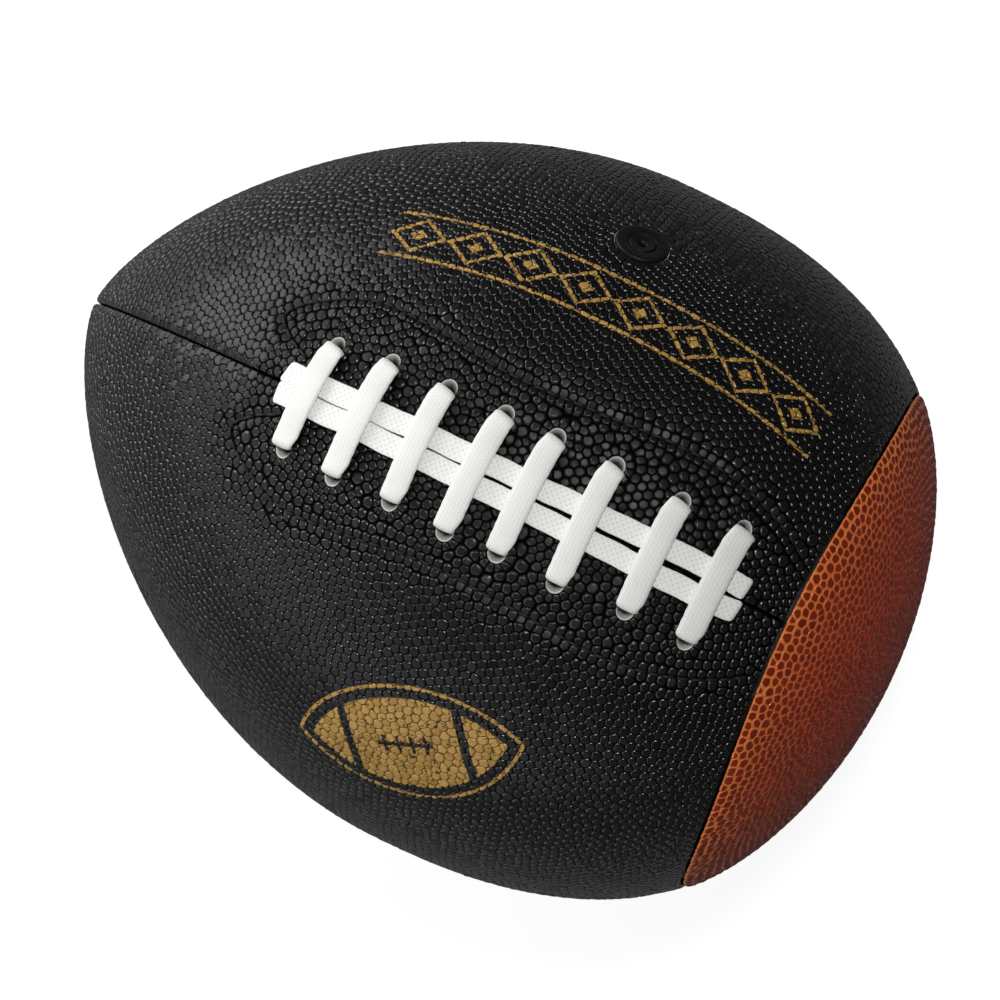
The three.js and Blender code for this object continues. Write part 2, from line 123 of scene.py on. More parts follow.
# %% Plans of the skin
class Sheet:
    """A skin of revolution with a plan on which small circles stay circles."""

    def __init__(self, stations, radii, polar):
        steps = np.hypot(np.diff(stations), np.diff(radii))
        self.station, self.radius, self.polar = stations, radii, polar
        self.run = np.append(0, np.cumsum(steps))
        self.travel = np.append(0, np.cumsum(2 * steps / (radii[1:] + radii[:-1])))
        self.normal_x = -np.gradient(radii, self.run)
        self.normal_r = np.gradient(stations, self.run)

    def read(self, values, travel):
        return np.interp(travel, self.travel, values)

    def to_plan(self, travel, angle):
        if not self.polar:
            return np.stack([travel, angle], axis=-1)
        reach = np.exp(-np.asarray(travel))
        return np.stack([reach * np.sin(angle), reach * np.cos(angle)], axis=-1)

    def from_plan(self, plan):
        if not self.polar:
            return plan[..., 0], plan[..., 1]
        reach = np.hypot(plan[..., 0], plan[..., 1])
        return -np.log(np.maximum(reach, 1e-9)), np.arctan2(plan[..., 0], plan[..., 1])

    def scale(self, plan):
        """Millimetres on the skin for one unit of the plan."""
        travel, _ = self.from_plan(plan)
        radius = self.read(self.radius, travel)
        return radius * np.exp(travel) if self.polar else radius

    def place(self, travel, angle, height):
        x = self.read(self.station, travel) + height * self.read(self.normal_x, travel)
        r = self.read(self.radius, travel) + height * self.read(self.normal_r, travel)
        return in_frame(x - cap_seam_scallop(x, angle), r * np.sin(angle), r * np.cos(angle))


scallop_depth, scallop_reach = 0.77, 9.0


def cap_seam_scallop(x, angle):
    """The circular seam is drawn a little towards the nose where the panel seams meet it."""
    return scallop_depth * np.cos(4 * angle) * np.exp(-(((x - cap_station) / scallop_reach) ** 2))


sheet_steps, crown_edge = 4001, 0.0004
nose_share = (1 - (nose_hole_radius / girth_radius) ** (1 / nose_sharpness)) ** (1 / nose_fullness)
nose_tip = -nose_length * nose_share
turn = np.linspace(-math.pi / 2, math.pi / 2, sheet_steps)
body_stations = (nose_tip + panel_end) / 2 + (panel_end - nose_tip) / 2 * np.sin(turn)
body = Sheet(body_stations, skin_radius(body_stations), polar=False)

cap_radius = float(skin_radius(cap_station))
crown_angle = np.linspace(math.pi / 2, crown_edge, sheet_steps)
cap_rise = cap_height * np.cos(crown_angle) ** (2 * cap_fullness)
dome = Sheet(cap_start + cap_rise, cap_radius * np.sin(crown_angle), polar=True)
print(f"panel length over the skin {body.run[-1]:.0f} mm, dome from seam to crown {dome.run[-1]:.0f} mm")

# %% [markdown]
# ## Walls round the pebbles
# A skin ends at its seams and at its holes. Pebbles are the cells of a Voronoi diagram, each cell being the
# ground nearer to its own seed than to any other. Mirroring the seeds across a wall puts cell borders
# exactly on it, so a wall needs only two skills: to mirror seeds, and to pull border points onto itself.


# %% Straight, round and oval walls
class SeamWall:
    """A straight edge of a panel's plan."""

    def __init__(self, axis, value):
        self.axis, self.value = axis, value

    def mirror(self, plan):
        turned = plan.copy()
        turned[:, self.axis] = 2 * self.value - turned[:, self.axis]
        return turned

    def snap(self, plan):
        plan[:, self.axis] = self.value
        return plan

    def beyond(self, plan, step):
        moved = plan.copy()
        moved[:, self.axis] += step if self.value else -step
        return moved


class RimWall:
    """The unit circle that the dome's plan ends at."""

    def mirror(self, plan):
        return plan / (plan**2).sum(1, keepdims=True)

    def snap(self, plan):
        return plan / np.linalg.norm(plan, axis=1, keepdims=True)

    def beyond(self, plan, step):
        return self.snap(plan) * (1 + step)


hole_taper = 0.78  # size of a hole on the inner side of the skin, as a share of its outer side


class HoleWall:
    """An oval hole through a skin, with a ring of pebbles round it."""

    def __init__(self, sheet, x, angle, half_length, half_width, pebbles_round, drift=0.0):
        travel = float(np.interp(x, sheet.station, sheet.travel))
        self.centre = sheet.to_plan(travel, angle)
        self.halves, self.pebbles_round = np.array([half_length, half_width]), pebbles_round
        self.scale = float(sheet.scale(self.centre))
        self.drift = np.array([0, drift]) / self.scale

    def ring(self, offset):
        """Seeds round the hole, at an offset from its edge."""
        turn = np.arange(self.pebbles_round) / self.pebbles_round * 2 * math.pi
        return self.centre + (self.halves + offset) / self.scale * np.stack([np.cos(turn), np.sin(turn)], 1)

    def snap(self, plan):
        arm = (plan - self.centre) * self.scale / self.halves
        return self.centre + arm / np.linalg.norm(arm, axis=1, keepdims=True) * self.halves / self.scale

    def beyond(self, plan, step):
        return self.centre + (plan - self.centre) * hole_taper + self.drift

    def away(self, plan):
        """How far points lie outside the hole, roughly, in millimetres."""
        arm = (plan - self.centre) * self.scale
        return np.linalg.norm(arm, axis=1) * (1 - 1 / np.linalg.norm(arm / self.halves, axis=1).clip(0.01))


print("walls: seams, the dome's rim, lace holes and the valve hole")

# %% [markdown]
# ## Seeds and cells
# Real pebbles are uneven, yet no two crowd each other. Jittered rows of seeds are too rough at first, so
# each seed is moved a few times towards the middle of its neighbours. Blender's Delaunay triangulation
# finds the neighbours, and the circle through each triangle gives a corner where three pebbles meet.


# %% Neighbours, relaxing and corners
relax_share, ring_offset, corner_reach = 0.6, 1.1, 0.35


def triangles_of(seeds):
    found = delaunay_2d_cdt([Vector(seed) for seed in seeds.tolist()], [], [], 0, 1e-12)
    return np.array(found[2])


def with_mirrors(sheet, seeds, walls, reach):
    """Seeds with their mirror images across the walls, and which wall each image belongs to."""
    plan, marks = [seeds], [np.zeros((len(seeds), len(walls)), bool)]
    for k, wall in enumerate(walls):
        if isinstance(wall, HoleWall):
            images = wall.ring(-ring_offset)
            image_marks = np.zeros((len(images), len(walls)), bool)
        else:
            known, known_marks = np.concatenate(plan), np.concatenate(marks)
            images = wall.mirror(known)
            near = np.linalg.norm(images - known, axis=1) * sheet.scale(known) < 2 * reach
            images, image_marks = images[near], known_marks[near].copy()
        image_marks[:, k] = True
        plan.append(images)
        marks.append(image_marks)
    return np.concatenate(plan), np.concatenate(marks)


def relax(sheet, moving, fixed, walls, reach, rounds):
    """Moves seeds towards the middle of their neighbours."""
    for _ in range(rounds):
        seeds, _ = with_mirrors(sheet, np.concatenate([moving, fixed]), walls, reach)
        triangles = triangles_of(seeds)
        ends = np.concatenate([triangles[:, [0, 1]], triangles[:, [1, 2]], triangles[:, [2, 0]]])
        total, count = np.zeros_like(seeds), np.zeros(len(seeds))
        for here, there in (ends.T, ends.T[::-1]):
            np.add.at(total, here, seeds[there])
            np.add.at(count, here, 1)
        middle = total[: len(moving)] / count[: len(moving), None]
        moving = moving + (middle - moving) * relax_share
    return moving


def circle_middles(corners):
    """Middles of the circles through triangles, kept near the triangles."""
    a, b, c = corners[:, 0], corners[:, 1], corners[:, 2]
    ab, ac = b - a, c - a
    twice = 2 * (ab[:, 0] * ac[:, 1] - ab[:, 1] * ac[:, 0])
    twice = np.where(np.abs(twice) < 1e-15, 1e-15, twice)
    ab2, ac2 = (ab**2).sum(1), (ac**2).sum(1)
    offset = np.stack([ac[:, 1] * ab2 - ab[:, 1] * ac2, ab[:, 0] * ac2 - ac[:, 0] * ab2], 1) / twice[:, None]
    centroid = corners.mean(1)
    shift = a + offset - centroid
    longest = corner_reach * np.sqrt(np.maximum(ab2, ac2))
    length = np.linalg.norm(shift, axis=1).clip(1e-12)
    return centroid + shift * np.minimum(1, longest / length)[:, None]


print("seeds are relaxed by", relax_share, "of the way in each round")

# %% [markdown]
# ## From arrays to a piece
# Tens of thousands of faces are too many to add one by one. Blender's mesh lists can be filled in one go
# from flat arrays: points, then the corners of all faces in a row, then where each face starts. Each face
# also gets a place on a map of the piece, which a bake can use later.


# %% Meshes and pieces
def corners_of(faces):
    """Faces of one size as a flat list of corners and a list of sizes."""
    return faces.ravel(), np.full(len(faces), faces.shape[1])


def make_mesh(name, points, groups):
    """A smooth mesh from points and groups of faces, each with flat corners, sizes and map points."""
    flat, sizes, spots = (np.concatenate(parts) for parts in zip(*groups))
    mesh = bpy.data.meshes.new(name)
    mesh.vertices.add(len(points))
    mesh.vertices.foreach_set("co", (points * METRES).astype(np.float32).ravel())
    mesh.loops.add(len(flat))
    mesh.loops.foreach_set("vertex_index", flat.astype(np.int32))
    mesh.polygons.add(len(sizes))
    mesh.polygons.foreach_set("loop_start", (np.cumsum(sizes) - sizes).astype(np.int32))
    mesh.uv_layers.new(name="OFBake").uv.foreach_set("vector", spots.astype(np.float32).ravel())
    mesh.update(calc_edges=True)
    mesh.shade_smooth()
    return mesh


def note(mesh, **values):
    """Writes numbers on the points of a mesh, for its finish to read."""
    for name, value in values.items():
        mesh.attributes.new(name, "FLOAT", "POINT").data.foreach_set("value", value.astype(np.float32))


def add_piece(name, mesh, finish, slot, *stands_for):
    """Puts a mesh in the scene as a piece of the ball."""
    piece = bpy.data.objects.new(name, mesh)
    bpy.context.scene.collection.objects.link(piece)
    mesh.materials.append(finish)
    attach(piece, "root")
    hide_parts(*stands_for)
    print(f"{name}: {len(mesh.vertices)} points, {len(mesh.polygons)} faces")
    return piece


# %% [markdown]
# ## Growing pebbles
# Each cell becomes a pebble: its border lies at the bottom of the groove, a first ring climbs the groove's
# wall, a second ring is the shoulder that catches the light, and one point is the crown. A cobble keeps the
# outline of its cell. A dome has its rings drawn towards a circle. A displacement texture would do this
# with a much finer mesh and would blur the grooves, while cells put the points exactly where the form
# turns.


# %% Cells on the plan
class Cells:
    """The ground of each pebble: its corners in turn order, the middles of its edges, and its loop."""

    def __init__(self, sheet, seeds, walls, reach):
        self.sheet, self.walls, self.seed_count = sheet, walls, len(seeds)
        self.plan, marks = with_mirrors(sheet, seeds, walls, reach)
        triangles = triangles_of(self.plan)
        triangles = triangles[(triangles < len(seeds)).any(axis=1)]
        self.corner = circle_middles(self.plan[triangles])
        self.corner_marks = marks[triangles].any(axis=1)
        for k, wall in enumerate(walls):
            on_wall = self.corner_marks[:, k]
            self.corner[on_wall] = wall.snap(self.corner[on_wall])
        self.order_corners(triangles)
        self.find_middles()
        self.loop = np.stack([self.tri, len(self.corner) + self.middle_of], axis=1).ravel()
        steps = np.arange(len(self.cell))
        self.after = np.stack([2 * steps + 1, 2 * self.following], axis=1).ravel()
        self.owner, self.seeds_used = np.repeat(self.cell, 2), self.cell[self.first]

    def order_corners(self, triangles):
        """Lists the corners of each cell as they follow round its seed."""
        cell, tri = triangles.ravel(), np.repeat(np.arange(len(triangles)), 3)
        cell, tri = cell[cell < self.seed_count], tri[cell < self.seed_count]
        arm = self.corner[tri] - self.plan[cell]
        order = np.lexsort((np.arctan2(arm[:, 1], arm[:, 0]), cell))
        self.cell, self.tri = cell[order], tri[order]
        self.first = np.flatnonzero(np.append(True, self.cell[1:] != self.cell[:-1]))
        self.count = np.diff(np.append(self.first, len(cell)))
        self.following = np.arange(len(cell)) + 1
        self.following[self.first + self.count - 1] = self.first

    def find_middles(self):
        """Finds the middles of the edges, which two cells share or, on a wall, one cell owns."""
        corners, marks = len(self.corner), self.corner_marks
        ends = self.tri, self.tri[self.following]
        keys = np.minimum(*ends) * corners + np.maximum(*ends)
        keys, self.middle_of, owners = np.unique(keys, return_inverse=True, return_counts=True)
        low, high = keys // corners, keys % corners
        middle = (self.corner[low] + self.corner[high]) / 2
        self.middle_marks = marks[low] & marks[high] & (owners == 1)[:, None]
        for k, wall in enumerate(self.walls):
            on_wall = self.middle_marks[:, k]
            middle[on_wall] = wall.snap(middle[on_wall])
        self.border = np.concatenate([self.corner, middle])

    def per_loop(self, values):
        """A value for each cell as values for the points of its loop."""
        return np.repeat(values, 2 * self.count)

    def inner_corners(self):
        """Corners on the inner side of the skin, where holes are narrower."""
        under = self.corner.copy()
        for k, wall in enumerate(self.walls):
            if isinstance(wall, HoleWall):
                on_wall = self.corner_marks[:, k]
                under[on_wall] = wall.beyond(under[on_wall], 0)
        return under

    def hole_marks(self):
        """Which corners and which edge middles lie on the edge of a hole."""
        holes = [k for k, wall in enumerate(self.walls) if isinstance(wall, HoleWall)]
        return self.corner_marks[:, holes].any(axis=1), self.middle_marks[:, holes].any(axis=1)


print("cells: corners, edge middles and loops of points round each seed")

# %% Pebbles on the cells
groove_depth = 0.5


def raised(cells, shape):
    """Plan points and heights of every pebble: border, wall ring, shoulder ring and crown."""
    owner, plan = cells.owner, cells.plan
    arm = cells.border[cells.loop] - plan[owner]
    length = np.linalg.norm(arm, axis=1)
    inner_length = cells.per_loop(np.minimum.reduceat(length, 2 * cells.first))
    reach_out = length + shape["round"][owner] * (inner_length - length)
    arm *= (reach_out / length.clip(1e-12))[:, None]
    lean = (arm * shape["lean"][owner]).sum(axis=1) * cells.sheet.scale(plan[owner])
    rings = [plan[owner] + arm * shape[ring][owner, None] for ring in ("wall", "shoulder")]
    spread = np.concatenate([cells.border, *rings, plan[cells.seeds_used]])
    height = np.concatenate([
        np.full(len(cells.border), -groove_depth),
        shape["wall_height"][owner],
        shape["shoulder_height"][owner] + lean,
        shape["crown_height"][cells.seeds_used],
    ])
    return spread, height


print("pebbles: groove", groove_depth, "mm deep")

# %% Faces and notes of a skin
edge_margin = 0.012  # how far the cut edges reach past the skin on the map
wall_share, shoulder_share, cut_share = 0.45, 0.9, 0.12  # marks that the finishes tell the rings by
middle_tone = 0.5


def skin_faces(cells, wall_ring, shoulder, crown, inside, outer_map, inner_map, chart):
    """Groups of faces: groove walls, shoulders, crowns, the inner side and the cut edges."""
    loop, after, tri, first = cells.loop, cells.after, cells.tri, cells.first
    groups = []
    for face in (
        np.stack([loop, loop[after], wall_ring[after], wall_ring], axis=1),
        np.stack([wall_ring, wall_ring[after], shoulder[after], shoulder], axis=1),
        np.stack([shoulder, shoulder[after], crown], axis=1),
    ):
        groups.append((*corners_of(face), outer_map[face.ravel()]))
    backwards = np.repeat(2 * first + cells.count - 1, cells.count) - np.arange(len(tri))
    groups.append((inside[tri[backwards]], cells.count, inner_map[tri[backwards]]))
    for k, wall in enumerate(cells.walls):
        on = cells.middle_marks[cells.middle_of, k]
        a, m, b = tri[on], len(cells.corner) + cells.middle_of[on], tri[cells.following[on]]
        face = np.stack([b, m, a, inside[a], inside[b]], axis=1)
        over = [chart(wall.beyond(cells.corner[end], edge_margin), False) for end in (a, b)]
        spots = np.stack([outer_map[b], outer_map[m], outer_map[a], *over], axis=1)
        groups.append((*corners_of(face), spots.reshape(-1, 2)))
    return groups


def note_pebbles(mesh, cells, shape, spread, calm):
    """Writes down where grooves, tops, cut edges and zones lie, and a tone for each pebble."""
    edge, ring, corners = np.zeros(len(cells.border)), np.ones(len(cells.loop)), np.zeros(len(cells.corner))
    tone = random.random(cells.seed_count)
    tones = [tone[cells.owner], tone[cells.owner], tone[cells.seeds_used]]
    crown = np.concatenate([edge, wall_share * ring, shoulder_share * ring, np.ones(len(cells.first))])
    on_corner, on_middle = cells.hole_marks()
    above = np.zeros(len(spread) - len(cells.border))
    places = shape["places"](spread)
    note(
        mesh,
        crown=np.append(crown * (1 - calm), corners),
        tone=np.concatenate([edge + middle_tone, *tones, corners + middle_tone]),
        cut=np.concatenate([cut_share * on_corner, cut_share * on_middle, above, on_corner]),
        zone=np.append(shape["zone"](spread), corners),
        **{name: np.append(value, corners) for name, value in places.items()},
    )


print("rings are marked", wall_share, "and", shoulder_share, "for the finishes")

# %% A skin made of pebbles
pebble_lift, calm_height = -0.15, -0.12


def pebbled_skin(name, cells, shape, roll, sink, chart):
    """A closed skin whose outer side is pebbles and whose inner side is smooth.

    shape gives each pebble's form, roll places plan points on the ball, sink lowers the skin at
    its seams, and chart lays it out flat on the map.
    """
    spread, height = raised(cells, shape)
    calm = shape["calm"](spread)
    height += pebble_lift - sink(spread) - calm * (height - calm_height)
    under = cells.inner_corners()
    points = np.concatenate([roll(spread, height), roll(under, np.full(len(under), -skin_thickness))])
    points[:, 2] = points[:, 2].clip(0)
    around = len(cells.border) + np.arange(len(cells.loop))
    shoulder = around + len(cells.loop)
    crown = len(cells.border) + 2 * len(cells.loop) + cells.per_loop(np.arange(len(cells.first)))
    inside = len(spread) + np.arange(len(under))
    maps = chart(spread, False), chart(cells.corner, True)
    mesh = make_mesh(name, points, skin_faces(cells, around, shoulder, crown, inside, *maps, chart))

    # Shoulders take on most of the crown's direction, so that tops look flat
    normals = np.empty((len(points), 3), np.float32)
    mesh.vertex_normals.foreach_get("vector", normals.ravel())
    normals[shoulder] += (normals[crown] - normals[shoulder]) * shape["flatness"][cells.owner, None]
    mesh.normals_split_custom_set_from_vertices(normals)
    note_pebbles(mesh, cells, shape, spread, calm)
    return mesh


print("skins:", skin_thickness, "mm thick, tops", -pebble_lift, "mm under the CAD skin")

# %% [markdown]
# ## Lace places
# Pebbles round the lace are rounder, inside a sewn outline, so the skin has to know where the lace, its
# holes and its sewn outline lie. The outline is a smooth curve through a few points, given as shares of its
# length and of its half width.

# %% Lace, holes and sewn outline
crossings, crossing_pitch, last_crossing_to_cap = 8, 14.2, 18.6
last_crossing = cap_start - seam_gap / 2 - last_crossing_to_cap
crossing_stations = last_crossing - crossing_pitch * np.arange(crossings)[::-1]
lace_drift = np.array([-0.4, -0.8, -0.3, -0.2, -1.8, -1.5, 0.6, 0.9])
lace_reach = 13.8
# By edge of the panel's plan: 0 is the valve side of the lace, 1 the plain side
reach_trims = {
    0: np.array([-2.2, -0.5, -0.4, -0.2, 0, 0, -0.6, 0]),
    1: np.array([-1.0, 0, -0.5, 0.3, -0.4, 0, -1.4, -1.2]),
}
hole_shift = {0: 0.5, 1: -0.3}
hole_offset, hole_length, hole_width, hole_drift = 0.7, 4.1, 4.6, 1.0
hole_pebbles, valve_hole_pebbles = 12, 20
liner_front_reach, liner_to_cap = 15.0, 1.5
liner_start, liner_end = crossing_stations[0] - liner_front_reach, cap_station - liner_to_cap
liner_half_width, zone_fade = 26.2, 9.0
outline_steps, outline_rear = 16, 40  # points on each stretch, and the first one past the front bend
outline_points = [
    (0.077, 0.267), (0.03, 0.382), (0, 0.534), (0.016, 0.668), (0.07, 0.847), (0.145, 1), (0.24, 0.992),
    (0.42, 0.889), (0.58, 0.916), (0.76, 0.962), (0.86, 0.878), (0.935, 0.725), (1, 0.515),
]


def smooth_through(points, steps):
    """A curve through points that doesn't overshoot: a centripetal Catmull-Rom spline."""
    points = np.concatenate([[2 * points[0] - points[1]], points, [2 * points[-1] - points[-2]]])
    curve = []
    for i in range(1, len(points) - 2):
        p = points[i - 1 : i + 3]
        knots = np.append(0, np.cumsum(np.sqrt(np.linalg.norm(np.diff(p, axis=0), axis=1))))
        t = np.linspace(knots[1], knots[2], steps, endpoint=False)[:, None]

        def between(a, b, start, end):
            return (a * (end - t) + b * (t - start)) / (end - start)

        sides = [between(p[j], p[j + 1], knots[j], knots[j + 1]) for j in range(3)]
        bends = [between(sides[j], sides[j + 1], knots[j], knots[j + 2]) for j in range(2)]
        curve.append(between(*bends, knots[1], knots[2]))
    return np.concatenate([*curve, points[-2:-1]])


outline = np.array(outline_points) * [liner_end - liner_start, liner_half_width] + [liner_start, 0]
sewn_line = smooth_through(outline, outline_steps)
sewn_run = np.append(0, np.cumsum(np.linalg.norm(np.diff(sewn_line, axis=0), axis=1)))
print(f"{crossings} crossings from x = {crossing_stations[0]:.1f}, sewn outline {sewn_run[-1]:.0f} mm long")


# %% Along and away from the sewn outline
near_step, far_away, batch = 0.5, 99.0, 8000


def on_sewn_line(run):
    """Station and distance from the lace seam, at a run along the sewn outline."""
    return np.stack([np.interp(run, sewn_run, sewn_line[:, k]) for k in (0, 1)], axis=1)


def along_sewn_line(run):
    """Places and directions on the sewn outline, at a run along it."""
    way = on_sewn_line(run + near_step) - on_sewn_line(run - near_step)
    return on_sewn_line(run), way / np.linalg.norm(way, axis=1, keepdims=True)


def away_from_sewn_line(x, distance):
    """Distance to the sewn outline, in millimetres."""
    near = np.full(len(x), far_away)
    close = np.flatnonzero((x > liner_start - zone_fade) & (distance < liner_half_width + zone_fade))
    knots = on_sewn_line(np.arange(0, sewn_run[-1], near_step))
    for part in np.array_split(close, max(1, len(close) // batch)):
        gap = np.hypot(x[part, None] - knots[:, 0], distance[part, None] - knots[:, 1])
        near[part] = gap.min(axis=1)
    return near


print(f"sewn outline from x = {liner_start:.1f} to {liner_end:.1f} mm")

# %% [markdown]
# ## The four black panels
# Each panel is a quarter of the body from nose to circular seam. Its seeds start as jittered rows. Rings of
# seeds round the holes and pairs of seeds along the sewn outline are put in first and stay fixed, so that a
# groove follows the thread and no pebble is cut by a hole. The skin rolls in at its seams.

# %% Rows of seeds
quarter = math.pi / 2
pebble, nose_fineness, nose_reach = 2.25, 0.1, 45.0
row_middle, row_step, row_stagger, seed_jitter = 0.43, 0.87, 0.25, 0.36
seed_inset = np.array([0.002, 0.004])


def row_seeds(sheet, spacing):
    """Jittered rows of seeds over a quarter of the body."""
    seeds, run, row = [], 0.0, 0
    while run < sheet.run[-1]:
        finer = 1 - nose_fineness * math.exp(-((run / nose_reach) ** 2))
        travel = np.interp(run + row_middle * finer * spacing, sheet.run, sheet.travel)
        radius = sheet.read(sheet.radius, travel)
        across = max(1, round(radius * quarter / (finer * spacing)))
        angle = (np.arange(across) + 0.5 + row_stagger * (-1) ** row) / across * quarter
        seeds.append(sheet.to_plan(np.full(across, travel), angle))
        run, row = run + row_step * finer * spacing, row + 1
    seeds = np.concatenate(seeds)
    seeds += random.uniform(-seed_jitter, seed_jitter, seeds.shape) * spacing / sheet.scale(seeds)[:, None]
    return seeds.clip(seed_inset, np.array([sheet.travel[-1], quarter]) - seed_inset)


def clear_of(sheet, seeds, fixed, least):
    """Seeds that keep a least distance from the fixed ones."""
    scale = sheet.scale(seeds)
    keep = np.ones(len(seeds), bool)
    for spot in fixed:
        keep &= np.linalg.norm(seeds - spot, axis=1) * scale > least
    return seeds[keep]


print("rows of seeds about", pebble, "mm apart")

# %% Where a panel lies
valve_station, valve_angle, valve_head_radius, valve_clearance = 4.1, math.radians(48.3), 6.4, 0.15
valve_hole_radius = valve_head_radius + valve_clearance
seam_roll_depth, seam_roll_width = 0.5, 0.6
cap_roll_depth, cap_roll_width = 0.2, 0.5
sewn_groove_depth, sewn_groove_width, sink_spare = 0.4, 0.8, 0.3
print_station, chain_angle, ball_sign_angle = 5.5, math.radians(34.5), math.radians(46)
map_edge, outer_row, inner_row = 0.02, (0.02, 0.86), (0.905, 0.085)


class Quarter:
    """Where one panel lies: its turn from the lace seam, and on which side of its plan the lace is."""

    def __init__(self, name, turns, lace_edge, print_angle=None):
        self.name, self.offset, self.lace_edge = name, turns * quarter, lace_edge
        self.print_angle = print_angle

    def roll(self, plan, height):
        travel, angle = body.from_plan(plan)
        held = seam_gap / (quarter * body.read(body.radius, travel))
        angle = quarter / 2 + (angle - quarter / 2) * (1 - held)
        return body.place(travel, angle + self.offset, height)

    def beside_lace(self, plan):
        """Station and distance from the lace seam of plan points."""
        travel, angle = body.from_plan(plan)
        turned = angle if self.lace_edge == 0 else quarter - angle
        return body.read(body.station, travel), turned * body.read(body.radius, travel)

    def to_plan(self, x, distance):
        travel = np.interp(x, body.station, body.travel)
        turned = distance / skin_radius(x)
        return body.to_plan(travel, turned if self.lace_edge == 0 else quarter - turned)

    def in_sewn_area(self, plan):
        if self.lace_edge is None:
            return np.zeros(len(plan))
        x, distance = self.beside_lace(plan)
        within = distance < np.interp(x, *sewn_line[outline_rear:].T, left=-1)
        return np.where(within, 1, 1 - away_from_sewn_line(x, distance) / zone_fade).clip(0, 1)

    def print_places(self, plan):
        """Millimetres along and across the panel from the middle of its print."""
        if self.print_angle is None:
            return {}
        x, distance = self.beside_lace(plan)
        across = distance - self.print_angle * skin_radius(x)
        return {"print_along": x - print_station, "print_across": across}

    def sink(self, plan):
        travel, angle = body.from_plan(plan)
        to_seam = np.minimum(angle, quarter - angle) * body.read(body.radius, travel)
        to_cap = body.run[-1] - body.read(body.run, travel)
        lower = seam_roll_depth * np.exp(-((to_seam / seam_roll_width) ** 2))
        lower += cap_roll_depth * np.exp(-((to_cap / cap_roll_width) ** 2))
        if self.lace_edge is not None:
            gap = away_from_sewn_line(*self.beside_lace(plan))
            lower += sewn_groove_depth * np.exp(-((gap / sewn_groove_width) ** 2))
        return np.minimum(lower, seam_roll_depth + sink_spare)

    def chart(self, plan, inside):
        travel, angle = body.from_plan(plan)
        along = body.read(body.run, travel) / body.run[-1] + (travel - travel.clip(0, body.travel[-1]))
        start, width = inner_row if inside else outer_row
        return np.stack([map_edge + (1 - 2 * map_edge) * along, start + width * angle / quarter], axis=1)

    def holes(self):
        if self.lace_edge is None:
            return []
        turned = (lace_reach + reach_trims[self.lace_edge] + hole_offset) / skin_radius(crossing_stations)
        angles = turned if self.lace_edge == 0 else quarter - turned
        places = zip(crossing_stations + lace_drift + hole_shift[self.lace_edge], angles)
        drift = hole_drift * (-1 if self.lace_edge == 0 else 1)
        halves = hole_length / 2, hole_width / 2
        found = [HoleWall(body, x, angle, *halves, hole_pebbles, drift) for x, angle in places]
        if self.lace_edge == 0:
            halves = valve_hole_radius, valve_hole_radius
            found.append(HoleWall(body, valve_station, valve_angle, *halves, valve_hole_pebbles))
        return found


quarters = [
    Quarter("lace_valve_side", 0, 0, chain_angle), Quarter("lace_plain_side", -1, 1, ball_sign_angle),
    Quarter("under_valve_side", 1, None), Quarter("under_plain_side", 2, None),
]
print("panels:", ", ".join(q.name for q in quarters))


# %% Shapes of the black pebbles
def black_pebbles(q, seeds):
    """Cobbles, rounder inside the sewn outline."""
    inside = q.in_sewn_area(seeds)
    uneven = random.uniform(-1, 1, (3, len(seeds)))
    return {
        "round": 0.2 + 0.65 * inside + 0.08 * uneven[0],
        "wall": 0.88 - 0.09 * inside,
        "shoulder": 0.71 - 0.07 * inside + 0.03 * uneven[1],
        "wall_height": -0.3 - 0.02 * inside,
        "shoulder_height": 0.02 * uneven[2],
        "crown_height": 0.04 + 0.02 * uneven[2],
        "lean": random.normal(0, 0.035, (len(seeds), 2)) * (1 + 0.5 * inside[:, None]),
        "flatness": np.full(len(seeds), 0.93),
        "zone": q.in_sewn_area,
        "places": q.print_places,
        "calm": lambda plan: np.zeros(len(plan)),
    }


sewn_pebble, sewn_aside, least_gap, hole_margin, relax_rounds = 2.2, 1.05, 0.8, 0.9, 4


def panel_mesh(q):
    """One pebbled panel, with its seeds laid out and relaxed first."""
    holes = q.holes()
    walls = [SeamWall(1, 0.0), SeamWall(1, quarter), SeamWall(0, 0.0), SeamWall(0, body.travel[-1]), *holes]
    fixed = [hole.ring(ring_offset) for hole in holes]
    if q.lace_edge is not None:
        spot, way = along_sewn_line(np.arange(sewn_pebble / 2, sewn_run[-1] - near_step, sewn_pebble))
        sideways = np.stack([-way[:, 1], way[:, 0]], axis=1) * sewn_aside
        fixed += [q.to_plan(*(spot + side * sideways).T) for side in (-1, 1)]
    fixed = np.concatenate(fixed) if fixed else np.zeros((0, 2))
    seeds = clear_of(body, row_seeds(body, pebble), fixed, least_gap * pebble)
    for hole in holes:
        seeds = seeds[hole.away(seeds) > hole_margin]
    seeds = np.concatenate([relax(body, seeds, fixed, walls, 2 * pebble, relax_rounds), fixed])
    cells = Cells(body, seeds, walls, 2 * pebble)
    return pebbled_skin("skin_" + q.name, cells, black_pebbles(q, seeds), q.roll, q.sink, q.chart)


panel_meshes = {q.name: panel_mesh(q) for q in quarters}
print("pebbled panels:", {name: len(mesh.polygons) for name, mesh in panel_meshes.items()})

# %% [markdown]
# ## Writing finishes as sums
# A finish in Blender is a tree of nodes. Wired by hand, even a short sum takes many lines. A small class
# round an output socket lets Python's own signs add the Math nodes, so that 1 - crown reads as it should.
# Every other node comes from one method, which sets the node's settings first, because they decide its
# sockets.


